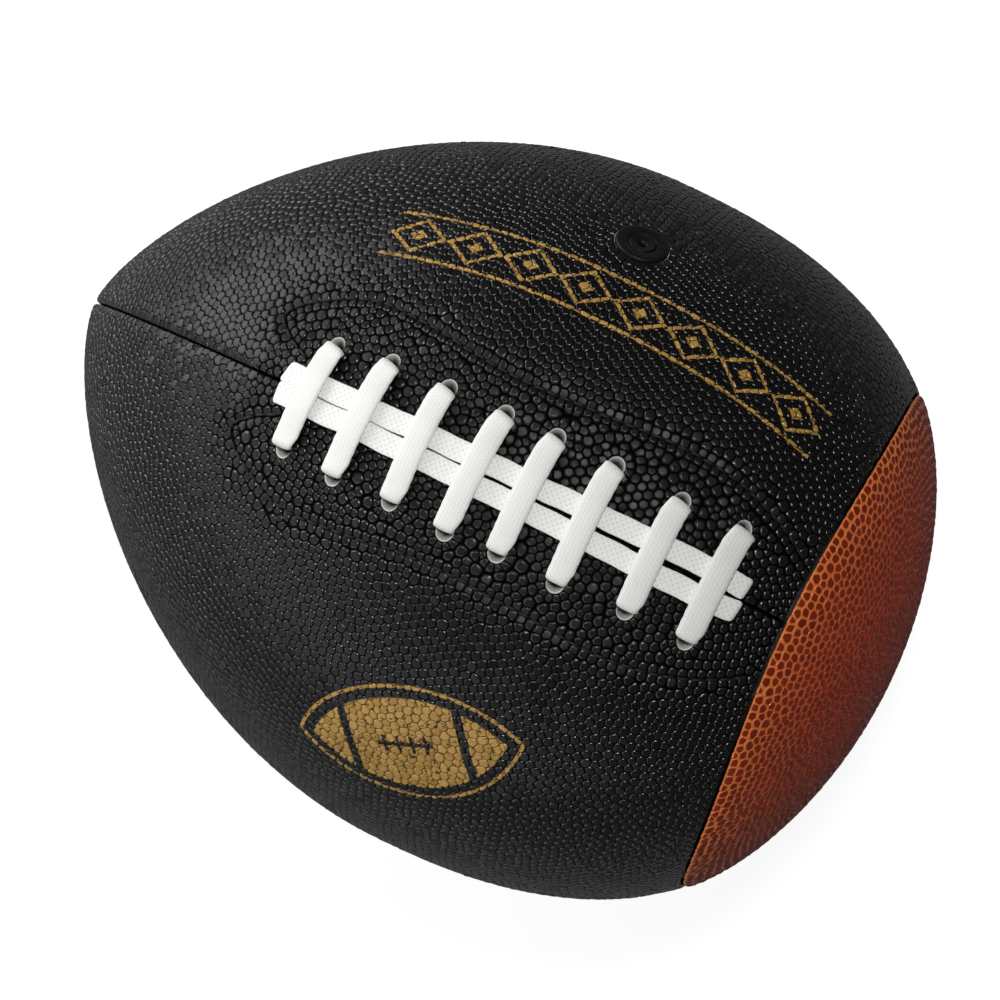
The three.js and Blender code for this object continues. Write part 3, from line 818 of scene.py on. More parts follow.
# %% Sockets that add up
class Wire:
    """An output of a node that takes part in sums."""

    def __init__(self, finish, socket):
        self.finish, self.socket = finish, socket

    def sum(self, operation, left, right=0.0):
        return self.finish.node("ShaderNodeMath", {"operation": operation}, {0: left, 1: right})

    def __add__(self, other):
        return self.sum("ADD", self, other)

    def __sub__(self, other):
        return self.sum("SUBTRACT", self, other)

    def __rsub__(self, other):
        return self.sum("SUBTRACT", other, self)

    def __mul__(self, other):
        return self.sum("MULTIPLY", self, other)

    def __pow__(self, other):
        return self.sum("POWER", self, other)

    __radd__, __rmul__ = __add__, __mul__

    def sine(self):
        return self.sum("SINE", self)

    def size(self):
        return self.sum("ABSOLUTE", self)

    def most(self, other):
        return self.sum("MAXIMUM", self, other)

    def wrap(self, period):
        """This, starting again from 0 after each period."""
        return self.sum("FLOORED_MODULO", self, period)

    def below(self, edge, soft=0.06):
        """1 where this is below an edge, with a narrow soft border."""
        return self.step(edge - soft, edge + soft, 1.0, 0.0)

    def step(self, low, high, to_low=0.0, to_high=1.0):
        """Smoothly from one value to another as this goes from low to high."""
        sockets = {"Value": self, "From Min": low, "From Max": high, "To Min": to_low, "To Max": to_high}
        return self.finish.node("ShaderNodeMapRange", {"interpolation_type": "SMOOTHSTEP"}, sockets)


print("sums of sockets: + - * ** and named ones such as step and wrap")


# %% Finishes made of nodes
class Finish:
    """A material, or a world, made of nodes."""

    def __init__(self, name, kind="materials"):
        self.owner = getattr(bpy.data, kind).new(name)
        self.owner.use_nodes = True
        self.tree = self.owner.node_tree
        self.tree.nodes.clear()

    def node(self, kind, settings=None, sockets=None, output=0):
        """Adds a node: its type, its settings, then values or wires for its sockets."""
        made = self.tree.nodes.new(kind)
        for name, value in (settings or {}).items():
            setattr(made, name, value)
        for key, value in (sockets or {}).items():
            if isinstance(key, int):
                socket = made.inputs[key]
            else:
                socket = next(s for s in made.inputs if s.name == key and s.enabled)
            if isinstance(value, Wire):
                self.tree.links.new(value.socket, socket)
            else:
                socket.default_value = value
        shown = [s for s in made.outputs if s.enabled]
        if not shown:
            return None
        return Wire(self, made.outputs[output] if isinstance(output, str) else shown[output])

    def reading(self, name):
        """Numbers that were noted on the points of the mesh."""
        return self.node("ShaderNodeAttribute", {"attribute_name": name}, output="Fac")

    def place(self):
        return self.node("ShaderNodeTexCoord", output="Object")

    def noise(self, grain_mm, detail=3.0, rough=0.55):
        """Noise whose grains are about so many millimetres across."""
        sockets = {"Vector": self.place(), "Scale": 1 / (grain_mm * METRES)}
        return self.node("ShaderNodeTexNoise", sockets=sockets | {"Detail": detail, "Roughness": rough})

    def mix(self, first, second, share):
        """The first colour for a share of 0, the second for 1."""
        return self.node("ShaderNodeMix", {"data_type": "RGBA"}, {"Factor": share, "A": first, "B": second})

    def bump(self, height, depth_mm, strength):
        """Normals that tilt as if the surface rose by so many millimetres."""
        sockets = {"Height": height, "Distance": depth_mm * METRES, "Strength": strength}
        return self.node("ShaderNodeBump", sockets=sockets)

    def surface(self, **sockets):
        named = {name.replace("_", " "): value for name, value in sockets.items()}
        return self.node("ShaderNodeBsdfPrincipled", sockets=named)

    def close(self, surface, kind="Material"):
        """The last node: a surface goes to the output."""
        self.node("ShaderNodeOutput" + kind, sockets={"Surface": surface})
        return self.owner

    def skin(self, **sockets):
        return self.close(self.surface(**sockets))


def colour(red, green, blue):
    """An sRGB colour, as read off a screen from 0 to 255, as Blender's linear one."""
    linear = [c / 255 / 12.92 if c < 10.3 else ((c / 255 + 0.055) / 1.055) ** 2.4 for c in (red, green, blue)]
    return (*linear, 1.0)


def flank(crown):
    """1 on the flanks of pebbles, and 0 in the grooves and on the tops."""
    return crown.step(0.2, 0.45) - crown.step(0.6, 0.9)


print("finishes: noise, mixes, bumps and surfaces")

# %% [markdown]
# ## Gold prints
# Two panels carry a gold ornament: a chain of diamonds between two rails, and a ball drawn as a lens. A
# picture would do, but it needs a file and has a fixed sharpness. Here each shape is a sum of distances
# along and across the panel that is 1 in the gold and 0 outside it. The larger of two shapes joins them,
# and a difference cuts one out of the other.

# %% Shapes of the prints
print_line = 0.85
chain_link, chain_half_height, chain_links, rail_gap, chain_core = 13.5, 5.6, 8, 1.3, 0.3
sign_turn, sign_radius, sign_offset, sign_ring = math.radians(-28), 30.0, 17.0, 2.6
stripe_place, stripe_half = 14.5, 1.1
sign_lace_half, sign_lace_reach = 0.5, 7.0
tie_pitch, tie_half, tie_reach = 3.5, 0.45, 2.4


def diamond_chain(along, across):
    """A chain of outlined diamonds with small filled ones inside, between two thin rails."""
    middle = (along.wrap(chain_link) - chain_link / 2).size()
    slope = math.hypot(chain_half_height, chain_link / 2)
    to_edge = (middle * chain_half_height + across.size() * (chain_link / 2)) * (1 / slope)
    full = chain_half_height * chain_link / 2 / slope
    links = to_edge.below(full) - to_edge.below(full - print_line)
    rails = (across.size() - chain_half_height - rail_gap).size().below(print_line / 2)
    kept = along.size().below(chain_links * chain_link / 2)
    return links.most(to_edge.below(full * chain_core)).most(rails) * kept


def ball_sign(along, across):
    """A lens with two stripes and a lace left out of it, inside a thin outline."""
    p = along * math.cos(sign_turn) + across * math.sin(sign_turn)
    q = across * math.cos(sign_turn) - along * math.sin(sign_turn)
    reach = [((p * p + (q + way * sign_offset) ** 2) ** 0.5) - sign_radius for way in (1, -1)]
    lens = reach[0].most(reach[1])
    outline = lens.below(sign_ring + print_line) - lens.below(sign_ring)
    stripes = (p.size() - stripe_place).size().below(stripe_half)
    past_lace = p.size() - sign_lace_reach
    lace = (q.size() - sign_lace_half).most(past_lace).below(0)
    to_tie = (p.wrap(tie_pitch) - tie_pitch / 2).size() - tie_half
    ties = to_tie.most(q.size() - tie_reach).most(past_lace).below(0)
    return (lens.below(0) - stripes - lace.most(ties)).most(outline)


print(f"prints: a chain {chain_links * chain_link:.0f} mm long and a ball sign, lines {print_line} mm wide")

# %% [markdown]
# ## The black skin
# The panels are pebbled synthetic leather, nearly black. The grooves are matt and painted darker than the
# tops, as painted shade, each pebble differs a little, and a thin coat on the pebbles' flanks catches the
# light. Inside the sewn outline the tops are a little duller and painted a little lighter, as a painted
# sheen. Where a hole cuts the skin, its pale backing shows, painted greyer deeper in as painted shade. The
# pebbles are in the mesh, so the finish adds only the fine grain and the gold.


# %% Black skin
def black_skin(name, print_shape=None):
    f = Finish(name)
    crown, tone, cut, zone = (f.reading(name) for name in ("crown", "tone", "cut", "zone"))
    grain = f.noise(0.22, 4.0)
    cloud = f.noise(14.0, 2.0)
    printed = 0.0
    if print_shape:
        worn = f.noise(1.2, 3.0).step(0.3, 0.45)
        printed = print_shape(f.reading("print_along"), f.reading("print_across")) * worn
    top = f.mix(colour(8, 7, 6), colour(14, 12, 11), tone * 0.6 + cloud * 0.4)
    gold = f.mix(colour(154, 117, 50), colour(200, 158, 84), tone * 0.5 + grain * 0.5)
    # Tops inside the sewn outline (zone) are painted a little lighter: a painted sheen
    leather = f.surface(
        Base_Color=f.mix(f.mix(top, colour(20, 19, 18), zone * 0.3), gold, printed),
        Roughness=grain * 0.1 + tone * 0.04 + zone * 0.12 + 0.25,
        Normal=f.bump(grain, 0.03, 0.4),
        Specular_IOR_Level=0.28,
        Coat_Weight=flank(crown),
        Coat_Roughness=0.26,
    )
    # The cut edge shows the pale backing, painted greyer deeper in the hole as painted shade
    backing_and_painted_shade = f.mix(colour(206, 204, 200), colour(158, 156, 152), cut.step(0.14, 0.36))
    # Grooves, and the gold print in them, are painted darker: painted shade in the grooves
    groove = f.surface(
        Base_Color=f.mix(f.mix(colour(4, 4, 4), colour(92, 66, 24), printed), backing_and_painted_shade, cut.step(0.09, 0.13)),
        Roughness=0.9,
        Specular_IOR_Level=0.02,
    )
    return f.close(f.node("ShaderNodeMixShader", sockets={0: crown.step(0.1, 0.42), 1: groove, 2: leather}))


plain_finish = black_skin("black_skin")
printed_finishes = {
    "lace_valve_side": black_skin("black_skin_chain", diamond_chain),
    "lace_plain_side": black_skin("black_skin_ball_sign", ball_sign),
}
for q in quarters:
    finish = printed_finishes.get(q.name, plain_finish)
    add_piece("skin_" + q.name, panel_meshes[q.name], finish, "black_skin", "panel_" + q.name)

# %% [markdown]
# ## The brown dome
# One round panel closes the blunt end. Its pebbles are larger and stretched away from the seam, where the
# skin was pulled over, and get smaller towards the crown. Rows of seeds run round it in rings that close
# up.

# %% Pebbles of the dome
dome_pebble, rim_pebble, rim_reach, rim_zone = 2.1, 2.8, 9.0, 12.0
ring_step, ring_across, rim_stretch, dome_jitter, dome_rounds = 0.98, 0.9, 0.4, 0.34, 2
outer_disc, inner_disc = (0.485, 0.49), (0.06, 0.935)
rim_roll_depth, rim_roll_width = 0.35, 0.8
calm_end, calm_fade = 1.0, 0.9


def dome_seeds():
    """Jittered rings of seeds from the circular seam to the crown."""
    seeds, run = [], 0.0
    while run < dome.run[-1] - dome_pebble:
        near_rim = math.exp(-run / rim_reach)
        step = ring_step * (dome_pebble + (rim_pebble - dome_pebble) * near_rim)
        travel = np.interp(run + step / 2, dome.run, dome.travel)
        across = ring_across * (dome_pebble + rim_stretch * (rim_pebble - dome_pebble) * near_rim)
        count = max(3, round(2 * math.pi * dome.read(dome.radius, travel) / across))
        angle = (np.arange(count) + random.random()) / count * 2 * math.pi
        seeds.append(dome.to_plan(np.full(count, travel), angle))
        run += step
    seeds = np.concatenate(seeds)
    jitter = random.uniform(-dome_jitter, dome_jitter, seeds.shape)
    return seeds + jitter * dome_pebble / dome.scale(seeds)[:, None]


def dome_run(plan):
    """Distance over the skin from the circular seam."""
    return dome.read(dome.run, dome.from_plan(plan)[0])


def dome_chart(plan, inside):
    travel, angle = dome.from_plan(plan)
    reach = 1 - dome.read(dome.run, travel) / dome.run[-1] + (travel.clip(0) - travel)
    size, centre = inner_disc if inside else outer_disc
    return centre + size * np.stack([reach * np.sin(angle), reach * np.cos(angle)], axis=1)


def dome_shape(seeds):
    uneven = random.uniform(-1, 1, (3, len(seeds)))
    return {
        "round": 0.35 + 0.12 * uneven[0],
        "wall": np.full(len(seeds), 0.84),
        "shoulder": 0.64 + 0.04 * uneven[1],
        "wall_height": np.full(len(seeds), -0.24),
        "shoulder_height": 0.02 * uneven[2],
        "crown_height": 0.05 + 0.02 * uneven[2],
        "lean": random.normal(0, 0.05, (len(seeds), 2)),
        "flatness": np.full(len(seeds), 0.7),
        "zone": lambda plan: np.exp(-dome_run(plan) / rim_zone),
        "places": lambda plan: {},
        "calm": lambda plan: ((calm_end - dome_run(plan)) / calm_fade).clip(0, 1),
    }


seeds = relax(dome, dome_seeds(), np.zeros((0, 2)), [RimWall()], 2 * rim_pebble, dome_rounds)
dome_mesh = pebbled_skin(
    "skin_dome", Cells(dome, seeds, [RimWall()], 2 * rim_pebble), dome_shape(seeds),
    lambda plan, height: dome.place(*dome.from_plan(plan), height),
    lambda plan: rim_roll_depth * np.exp(-((dome_run(plan) / rim_roll_width) ** 2)),
    dome_chart,
)


# %% Brown skin
def brown_skin():
    f = Finish("brown_skin")
    crown, tone, zone = (f.reading(name) for name in ("crown", "tone", "zone"))
    grain = f.noise(0.25, 4.0)
    cloud = f.noise(9.0, 3.0)
    top = f.mix(colour(121, 39, 18), colour(160, 54, 28), tone * 0.7 + cloud * 0.3)
    top = f.mix(top, colour(92, 29, 13), zone * 0.6)
    groove = f.mix(colour(178, 68, 38), colour(240, 132, 62), zone)
    base = f.mix(groove, top, (crown + grain * 0.2 - 0.1).step(0.36, 0.66))
    rough = 0.36 + grain * 0.14 + crown.step(0.5, 1.0) * 0.1
    return f.skin(
        Base_Color=base, Roughness=rough, Normal=f.bump(grain, 0.04, 0.4), Specular_IOR_Level=0.15,
        Coat_Weight=flank(crown), Coat_Roughness=0.24,
    )


add_piece("skin_dome", dome_mesh, brown_skin(), "brown_skin", "cap_panel")

# %% [markdown]
# ## Bands and threads
# Lace, strips and threads are all one idea: an outline carried along a route. A curve with a bevel would do
# it, but a mesh swept here keeps the band's width along the ball as it turns into the holes, and lets its
# edges and ends be uneven. Each stretch of a band gets its own row on the map, so that a bake keeps its
# weave.


# %% Sweeping rings of points
row_edge, end_spot, end_size = 0.05, 0.008, 0.006


def sweep(rings, rows=1, row=0, of_rows=1):
    """Points and face groups of a closed body from rings of points; its map is cut into rows."""
    steps, sides = rings.shape[:2]
    around = np.arange(sides)
    i, k = np.meshgrid(np.arange(steps - 1), around, indexing="ij")
    i, k = i.ravel(), k.ravel()
    j, n = i + 1, (k + 1) % sides
    faces = np.stack([i * sides + k, j * sides + k, j * sides + n, i * sides + n], axis=1)
    per_row = -(-(steps - 1) // rows)
    line = row * rows + i // per_row
    left, right = (map_edge + (1 - 2 * map_edge) * (i % per_row + end) / per_row for end in (0, 1))
    low, high = (
        (line + row_edge + (1 - 2 * row_edge) * (k + end) / sides) / (rows * of_rows) for end in (0, 1)
    )
    spots = np.stack([left, low, right, low, right, high, left, high], axis=1).reshape(-1, 2)
    end_spots = np.stack([end_spot + end_size * np.cos(around), np.full(sides, low[0])], axis=1)
    groups = [
        (*corners_of(faces), spots),
        (around, np.array([sides]), end_spots),
        ((steps - 1) * sides + around[::-1], np.array([sides]), end_spots),
    ]
    return rings.reshape(-1, 3), groups


def gather(bodies):
    """Several swept bodies as one."""
    points, groups, start = [], [], 0
    for body_points, body_groups in bodies:
        points.append(body_points)
        groups += [(flat + start, sizes, spots) for flat, sizes, spots in body_groups]
        start += len(body_points)
    return np.concatenate(points), groups


def beside_lace(x, distance, height):
    """Points at a distance from the lace seam round the skin, at a height over it."""
    angle = distance / skin_radius(x)
    radius = skin_radius(x, -height)
    return in_frame(x, radius * np.sin(angle), radius * np.cos(angle))


def thread_rings(centres, radius, sides):
    """Rings round a route of points."""
    way = np.gradient(centres, axis=0)
    way /= np.linalg.norm(way, axis=1, keepdims=True)
    out = centres - in_frame(*np.zeros(3))
    out[:, 0] = 0
    side = np.cross(way, out)
    side /= np.linalg.norm(side, axis=1, keepdims=True)
    up = np.cross(side, way)
    turn = np.arange(sides) / sides * 2 * math.pi
    radius = np.broadcast_to(radius, len(centres))[:, None, None]
    spokes = np.cos(turn)[:, None] * side[:, None] + np.sin(turn)[:, None] * up[:, None]
    return centres[:, None] + radius * spokes


print("sweeps: rings of points, gathered into pieces")

# %% [markdown]
# ## The sewn outline
# A lockstitch shows as a row of short thread bridges that dive into the leather at each needle hole. One
# long tube would look like piping, so each stitch is its own small bridge, sunk at both ends.

# %% Stitches
ways_from_lace = {"valve_side": 1, "plain_side": -1}
first_stitch, stitch_pitch, stitch_length, stitch_radius = 0.4, 3.1, 2.7, 0.36
stitch_rise, stitch_sink, stitch_taper, stitch_wander = -0.1, 0.9, 0.25, 0.1
stitch_points, stitch_sides = 9, 10


def sewn_stitches(sign):
    """All the stitches on one side of the lace."""
    starts = np.arange(first_stitch, sewn_run[-1] - stitch_length, stitch_pitch)
    share = np.linspace(0, 1, stitch_points)
    to_middle = np.abs(2 * share - 1)
    height = stitch_rise - (stitch_rise + stitch_sink) * to_middle**4 - sewn_groove_depth
    radius = stitch_radius * (1 - stitch_taper * to_middle**3)
    bodies = []
    for n, start in enumerate(starts):
        x, distance = on_sewn_line(start + share * stitch_length).T
        sideways = random.uniform(-stitch_wander, stitch_wander)
        route = beside_lace(x, sign * (distance + sideways), height)
        bodies.append(sweep(thread_rings(route, radius, stitch_sides), 1, n, len(starts)))
    return gather(bodies)


def black_thread():
    f = Finish("black_thread")
    fibre = f.noise(0.12, 2.0)
    base = f.mix(colour(7, 7, 7), colour(32, 30, 28), fibre)
    bump = f.bump(fibre, 0.06, 0.6)
    return f.skin(Base_Color=base, Roughness=fibre * 0.25 + 0.4, Normal=bump, Specular_IOR_Level=0.3)


thread_finish = black_thread()
for side, sign in ways_from_lace.items():
    points, groups = sewn_stitches(sign)
    mesh = make_mesh("stitches_" + side, points, groups)
    add_piece("stitches_" + side, mesh, thread_finish, "black_thread", "lace_liner_stitch_" + side)

# %% [markdown]
# ## The lace
# One flat braided lace goes over the strips, down a hole, slantwise under the panels and up the next hole,
# eight times. Its outline is a rounded band. Where it dives into a hole it narrows and slants a little, as
# the real one is pinched there, and each crossing has its own small drift and reach. Numbers along and
# across it are noted for the weave.

# %% Route of the lace
lace_width, lace_thickness, lace_bend, lace_tail = 5.6, 1.7, 1.3, 6.0
layer_gap, lace_under, lace_lean = 0.3, 5.63, 0.5
turn_points, top_points, under_points = 8, 9, 14
strip_width, strip_thickness, strip_overhang = 5.0, 1.4, 7.8
lace_clear = layer_gap + lace_thickness / 2
lace_over_strips = layer_gap + strip_thickness + lace_clear
lace_flat = lace_reach - lace_bend
over_run = [(0, 0), (0.2, 0.02), (0.34, 0.05), (0.46, 0.2), (0.62, 0.5), (0.82, 0.86), (1, 1)]


def lace_turn(centre, height, start, end):
    turn = np.radians(np.linspace(start, end, turn_points))
    return np.stack([centre + lace_bend * np.cos(turn), height + lace_bend * np.sin(turn)], axis=1)


def lace_loop():
    """One loop as distances from the lace seam and heights over the skin: up, over, and down."""
    half = np.array(over_run) * [lace_flat, lace_clear - lace_over_strips] + [0, lace_over_strips]
    top = smooth_through(np.concatenate([half[::-1] * [-1, 1], half[1:]]), top_points)
    return np.concatenate([
        lace_turn(-lace_flat, lace_bend - lace_under, -90, -180),
        lace_turn(-lace_flat, lace_clear - lace_bend, 180, 90)[:-1],
        top,
        lace_turn(lace_flat, lace_clear - lace_bend, 90, 0)[1:],
        lace_turn(lace_flat, lace_bend - lace_under, 0, -90),
    ])


def lace_route():
    parts = [[[crossing_stations[0], lace_tail - lace_flat, -lace_under, 1]]]
    for n, x in enumerate(crossing_stations):
        loop = lace_loop()
        lean = random.uniform(0.0, lace_lean)
        trim = np.where(loop[:, 0] > 0, reach_trims[0][n], reach_trims[1][n])
        parts.append(np.column_stack([
            x + lace_drift[n] + lean * loop[:, 0] / lace_flat, loop, 1 + trim / lace_reach,
        ]))
        if n < crossings - 1:
            share = np.linspace(0, 1, under_points)[1:-1]
            level = np.full(len(share), -lace_under)
            parts.append(np.column_stack([
                x + crossing_pitch * share, lace_flat * (1 - 2 * share), level, np.ones(len(share)),
            ]))
    parts.append([[crossing_stations[-1], lace_flat - lace_tail, -lace_under, 1]])
    return np.concatenate(parts)


print("lace", lace_width, "mm wide, with", crossings, "loops")


# %% Band of the lace
lace_sides, lace_squareness, lace_fullness = 32, 2.7, 1.03
edge_wave, edge_rate = 0.012, 2.4
dive_reach, dive_narrowing, dive_slant = 1.9, 0.12, 1.2


def band_outline(width, thickness, count, squareness):
    """A rounded band: offsets across it and through it."""
    turn = np.arange(count) / count * 2 * math.pi
    c, s = np.cos(turn), np.sin(turn)
    return np.stack([
        width / 2 * np.sign(c) * np.abs(c) ** (2 / squareness),
        thickness / 2 * np.sign(s) * np.abs(s) ** (2 / squareness),
    ], axis=1)


def lace_mesh():
    *route, stretch = lace_route().T
    route, stretch = np.stack(route, axis=1), stretch[:, None]
    run = np.append(0, np.cumsum(np.linalg.norm(np.diff(route, axis=0), axis=1)))
    outline = band_outline(lace_width, lace_thickness, lace_sides, lace_squareness)
    way = np.gradient(route[:, 1:], axis=0)
    way /= np.linalg.norm(way, axis=1, keepdims=True)
    wide, deep = outline[:, 0][None], outline[:, 1][None]
    into_hole = np.clip((np.abs(route[:, 1]) - lace_flat + dive_reach) / (dive_reach + lace_bend), 0, 1)
    into_hole = np.where(route[:, 2] < -lace_bend, 1.0, into_hole**2 * (3 - 2 * into_hole))[:, None]
    swell = 1 + edge_wave * np.sin(run[:, None] * edge_rate) * np.sign(wide)
    shift = np.where(route[:, 1:2] > 0, hole_shift[0], hole_shift[1])
    slant = dive_slant * into_hole * wide / lace_width * (route[:, 1:2] > 0)
    rings = beside_lace(
        route[:, :1] + shift * into_hole + wide * swell * (lace_fullness - dive_narrowing * into_hole),
        route[:, 1:2] * stretch - deep * way[:, 1:] - slant,
        route[:, 2:] + deep * way[:, :1],
    )
    points, groups = sweep(rings, rows=crossings)
    mesh = make_mesh("lace_band", points, groups)
    note(mesh, along=np.repeat(run, len(outline)), across=np.tile(outline[:, 0], len(run)))
    return mesh


# %% [markdown]
# ### The weave
# The lace is braided in columns of small stitches, and the strips show staggered dimples. Both repeat along
# and across the band, so sines make them. They only tilt the light and darken the gaps and dimples a little,
# as painted shade: the thread is too fine for mesh.


# %% White cords
weave_depth, braid_column, braid_stitch, braid_skew, dimple_pitch = 0.12, 0.82, 0.95, 1.3, 0.72


def white_cord(name, weave_of):
    f = Finish(name)
    weave = weave_of(f.reading("along"), f.reading("across"))
    fluff = f.noise(0.35, 3.0)
    dust = f.noise(7.0, 3.0)
    # Gaps of the braid and the strips' dimples are painted darker: painted shade
    base = f.mix(colour(220, 218, 212), colour(245, 244, 241), weave * 0.75 + fluff * 0.25)
    base = f.mix(base, colour(220, 214, 202), dust.step(0.55, 0.8) * 0.2)
    normal = f.bump(weave + fluff * 0.5, weave_depth, 0.4)
    return f.skin(Base_Color=base, Roughness=0.95 - weave * 0.2, Normal=normal, Sheen_Weight=0.15)


def braided(along, across):
    """Columns of stitches along the lace, each a little askew to the next."""
    column = (across * (math.pi / braid_column)).sine()
    stitch = (along * (math.pi / braid_stitch) + column * braid_skew).sine()
    return column.size().step(0.0, 0.6) * 0.55 + stitch.size().step(0.0, 0.6) * 0.45


def dimpled(along, across):
    """Staggered small dimples."""
    wave = math.pi / dimple_pitch
    return ((along * wave).sine() * (across * wave).sine()).step(-0.9, -0.1)


add_piece("lace_band", lace_mesh(), white_cord("white_lace", braided), "white_lace", "lace")

# %% [markdown]
# ## The two strips
# Two flat strips run along the lace seam under the crossings. They lie almost edge to edge at the nose end,
# open a little towards the dome and close again past the last crossing. Each crossing presses them down,
# and their ends are cut a little askew.

# %% Strips
strip_lift = layer_gap + strip_thickness / 2
gap_narrow, gap_widening, gap_power = 0.11, 0.85, 1.6
strip_sides, strip_squareness, strip_rows = 28, 3.6, 8
strip_steps, end_steps, steps_left_out = 340, 12, 5
press_reach, slant_reach = 3.4, 4.0
strip_fullness, press_narrowing, strip_plumpness, press_flattening = 1.02, 0.03, 1.06, 0.1
end_thinness, wander_waves = 0.35, ((0.08, 0.31), (0.05, 0.83))
end_rounding, cut_slant, nose_slants = 0.9, 0.12, {1: 0.22, -1: -0.08}


def strip_mesh(side, sign):
    first, last = crossing_stations[0] - strip_overhang, crossing_stations[-1] + strip_overhang
    ease = np.linspace(0, 1, end_steps) ** 2 * end_rounding
    between = np.linspace(first, last, strip_steps)[steps_left_out:-steps_left_out]
    x = np.concatenate([first + ease, between, last - ease[::-1]])
    to_end = np.minimum(x - first, last - x)
    outline = band_outline(strip_width, strip_thickness, strip_sides, strip_squareness)
    pressed = np.exp(-(((x[:, None] - crossing_stations) / press_reach) ** 2)).sum(axis=1)
    rounding = np.sqrt(1 - (1 - (to_end / end_rounding).clip(0, 1)) ** 2)
    wide = outline[:, 0] * (strip_fullness - press_narrowing * pressed)[:, None]
    wide -= np.sign(outline[:, 0]) * end_rounding * (1 - rounding)[:, None]
    thick = strip_plumpness - press_flattening * pressed
    deep = outline[:, 1] * (thick * (end_thinness + (1 - end_thinness) * rounding))[:, None]
    closing = ((last - x) / strip_overhang).clip(0, 1)
    opening = gap_widening * ((x - first) / (last - first)) ** gap_power * closing - gap_narrow
    middle = sign * (seam_gap / 2 + strip_width / 2 + opening)
    (slow, slow_rate), (quick, quick_rate) = wander_waves
    wander = slow * np.sin(x * slow_rate + sign) + quick * np.sin(x * quick_rate)
    slant = np.where(x < (first + last) / 2, nose_slants[sign], cut_slant) * np.exp(-to_end / slant_reach)
    skewed = slant[:, None] * wide
    rings = beside_lace(x[:, None] + skewed, (middle + wander)[:, None] + wide, strip_lift + deep)
    points, groups = sweep(rings[::-1], rows=strip_rows)
    mesh = make_mesh("strip_" + side, points, groups)
    note(mesh, along=np.repeat(x[::-1], len(outline)), across=np.tile(outline[:, 0], len(x)))
    return mesh


strip_finish = white_cord("white_strip", dimpled)
for side, sign in ways_from_lace.items():
    add_piece("strip_" + side, strip_mesh(side, sign), strip_finish, "white_lace", "lace_strip_" + side)

# %% [markdown]
# ## The valve
# A moulded rubber valve sits in its hole: a raised ring that slopes inwards, a narrow gap round the plug,
# the plug's own small ring and the hole for the needle. Turned parts are profiles spun round an axis, so
# only the profile is drawn, as radii and heights over the skin.

# %% Turned rubber
valve_sides, valve_map_edge = 72, 0.01
flange_top, flange_bottom, stem_end = -3.52, -4.48, -9.48
valve_body_profile = [
    (3.3, stem_end), (4.4, stem_end), (4.4, flange_bottom), (8.0, flange_bottom), (8.0, flange_top),
    (6.36, flange_top), (6.4, -0.8), (6.37, -0.35), (6.25, -0.02), (6.0, 0.16), (5.6, 0.24), (5.0, 0.24),
    (4.4, 0.16), (3.8, 0.06), (3.5, 0.0), (3.36, -0.1), (3.3, -0.3), (3.3, -0.9),
]
valve_plug_profile = [
    (0.7, stem_end), (3.2, stem_end), (3.2, -0.3), (3.12, -0.04), (2.94, 0.12), (2.7, 0.18), (2.45, 0.12),
    (2.2, -0.04), (1.8, -0.12), (1.4, -0.2), (1.1, -0.4), (0.85, -0.8), (0.7, -1.6),
]


def turned(profile):
    """Rings of a profile spun round the valve's axis, closed on itself."""
    out = np.array([0, math.sin(valve_angle), math.cos(valve_angle)])
    across = np.array([0, math.cos(valve_angle), -math.sin(valve_angle)])
    foot = beside_lace(np.array(valve_station), valve_angle * skin_radius(valve_station), np.array(0.0))
    turn = -np.arange(valve_sides) / valve_sides * 2 * math.pi
    spokes = np.cos(turn)[:, None] * np.array([1, 0, 0]) + np.sin(turn)[:, None] * across
    radius, height = np.array(profile).T
    return foot + radius[None, :, None] * spokes[:, None] + height[None, :, None] * out


def turned_mesh(name, profile):
    rings = turned(profile)
    sides = rings.shape[1]
    i, k = (a.ravel() for a in np.meshgrid(np.arange(valve_sides), np.arange(sides), indexing="ij"))
    j, n = (i + 1) % valve_sides, (k + 1) % sides
    faces = np.stack([i * sides + k, i * sides + n, j * sides + n, j * sides + k], axis=1)
    left, right, low, high = i / valve_sides, (i + 1) / valve_sides, k / sides, (k + 1) / sides
    spots = np.stack([left, low, left, high, right, high, right, low], axis=1).reshape(-1, 2)
    spots = valve_map_edge + (1 - 2 * valve_map_edge) * spots
    return make_mesh(name, rings.reshape(-1, 3), [(*corners_of(faces), spots)])


def valve_rubber():
    f = Finish("valve_rubber")
    grain, cloud = f.noise(0.18, 3.0), f.noise(2.5, 3.0)
    base = f.mix(colour(7, 7, 7), colour(15, 15, 14), cloud)
    bump = f.bump(grain, 0.03, 0.4)
    return f.skin(Base_Color=base, Roughness=grain * 0.15 + 0.4, Normal=bump, Specular_IOR_Level=0.2)


rubber_finish = valve_rubber()
for name, profile, node in (
    ("valve_head", valve_body_profile, "valve_body"), ("valve_core", valve_plug_profile, "valve_plug"),
):
    add_piece(name, turned_mesh(name, profile), rubber_finish, "valve_rubber", node)

# %% [markdown]
# ## What lies inside
# Linings, liners, tongue, bladder and seam threads stay as the CAD made them. Little of them shows, through
# the lace holes and the seams, but each gets the finish of its real stuff.


# %% Inner finishes
cloth_rate = 4200.0  # radians of the weave's waves in a metre


def lining_cloth():
    f = Finish("lining_cloth")
    along, up = (f.node("ShaderNodeSeparateXYZ", sockets={"Vector": f.place()}, output=way) for way in "XZ")
    weave = ((along * cloth_rate).sine() * (up * cloth_rate).sine()).size()
    fluff = f.noise(0.4, 3.0)
    base = f.mix(colour(150, 146, 138), colour(196, 192, 184), weave * 0.6 + fluff * 0.4)
    return f.skin(Base_Color=base, Roughness=fluff * 0.1 + 0.85, Normal=f.bump(weave, 0.08, 0.6))


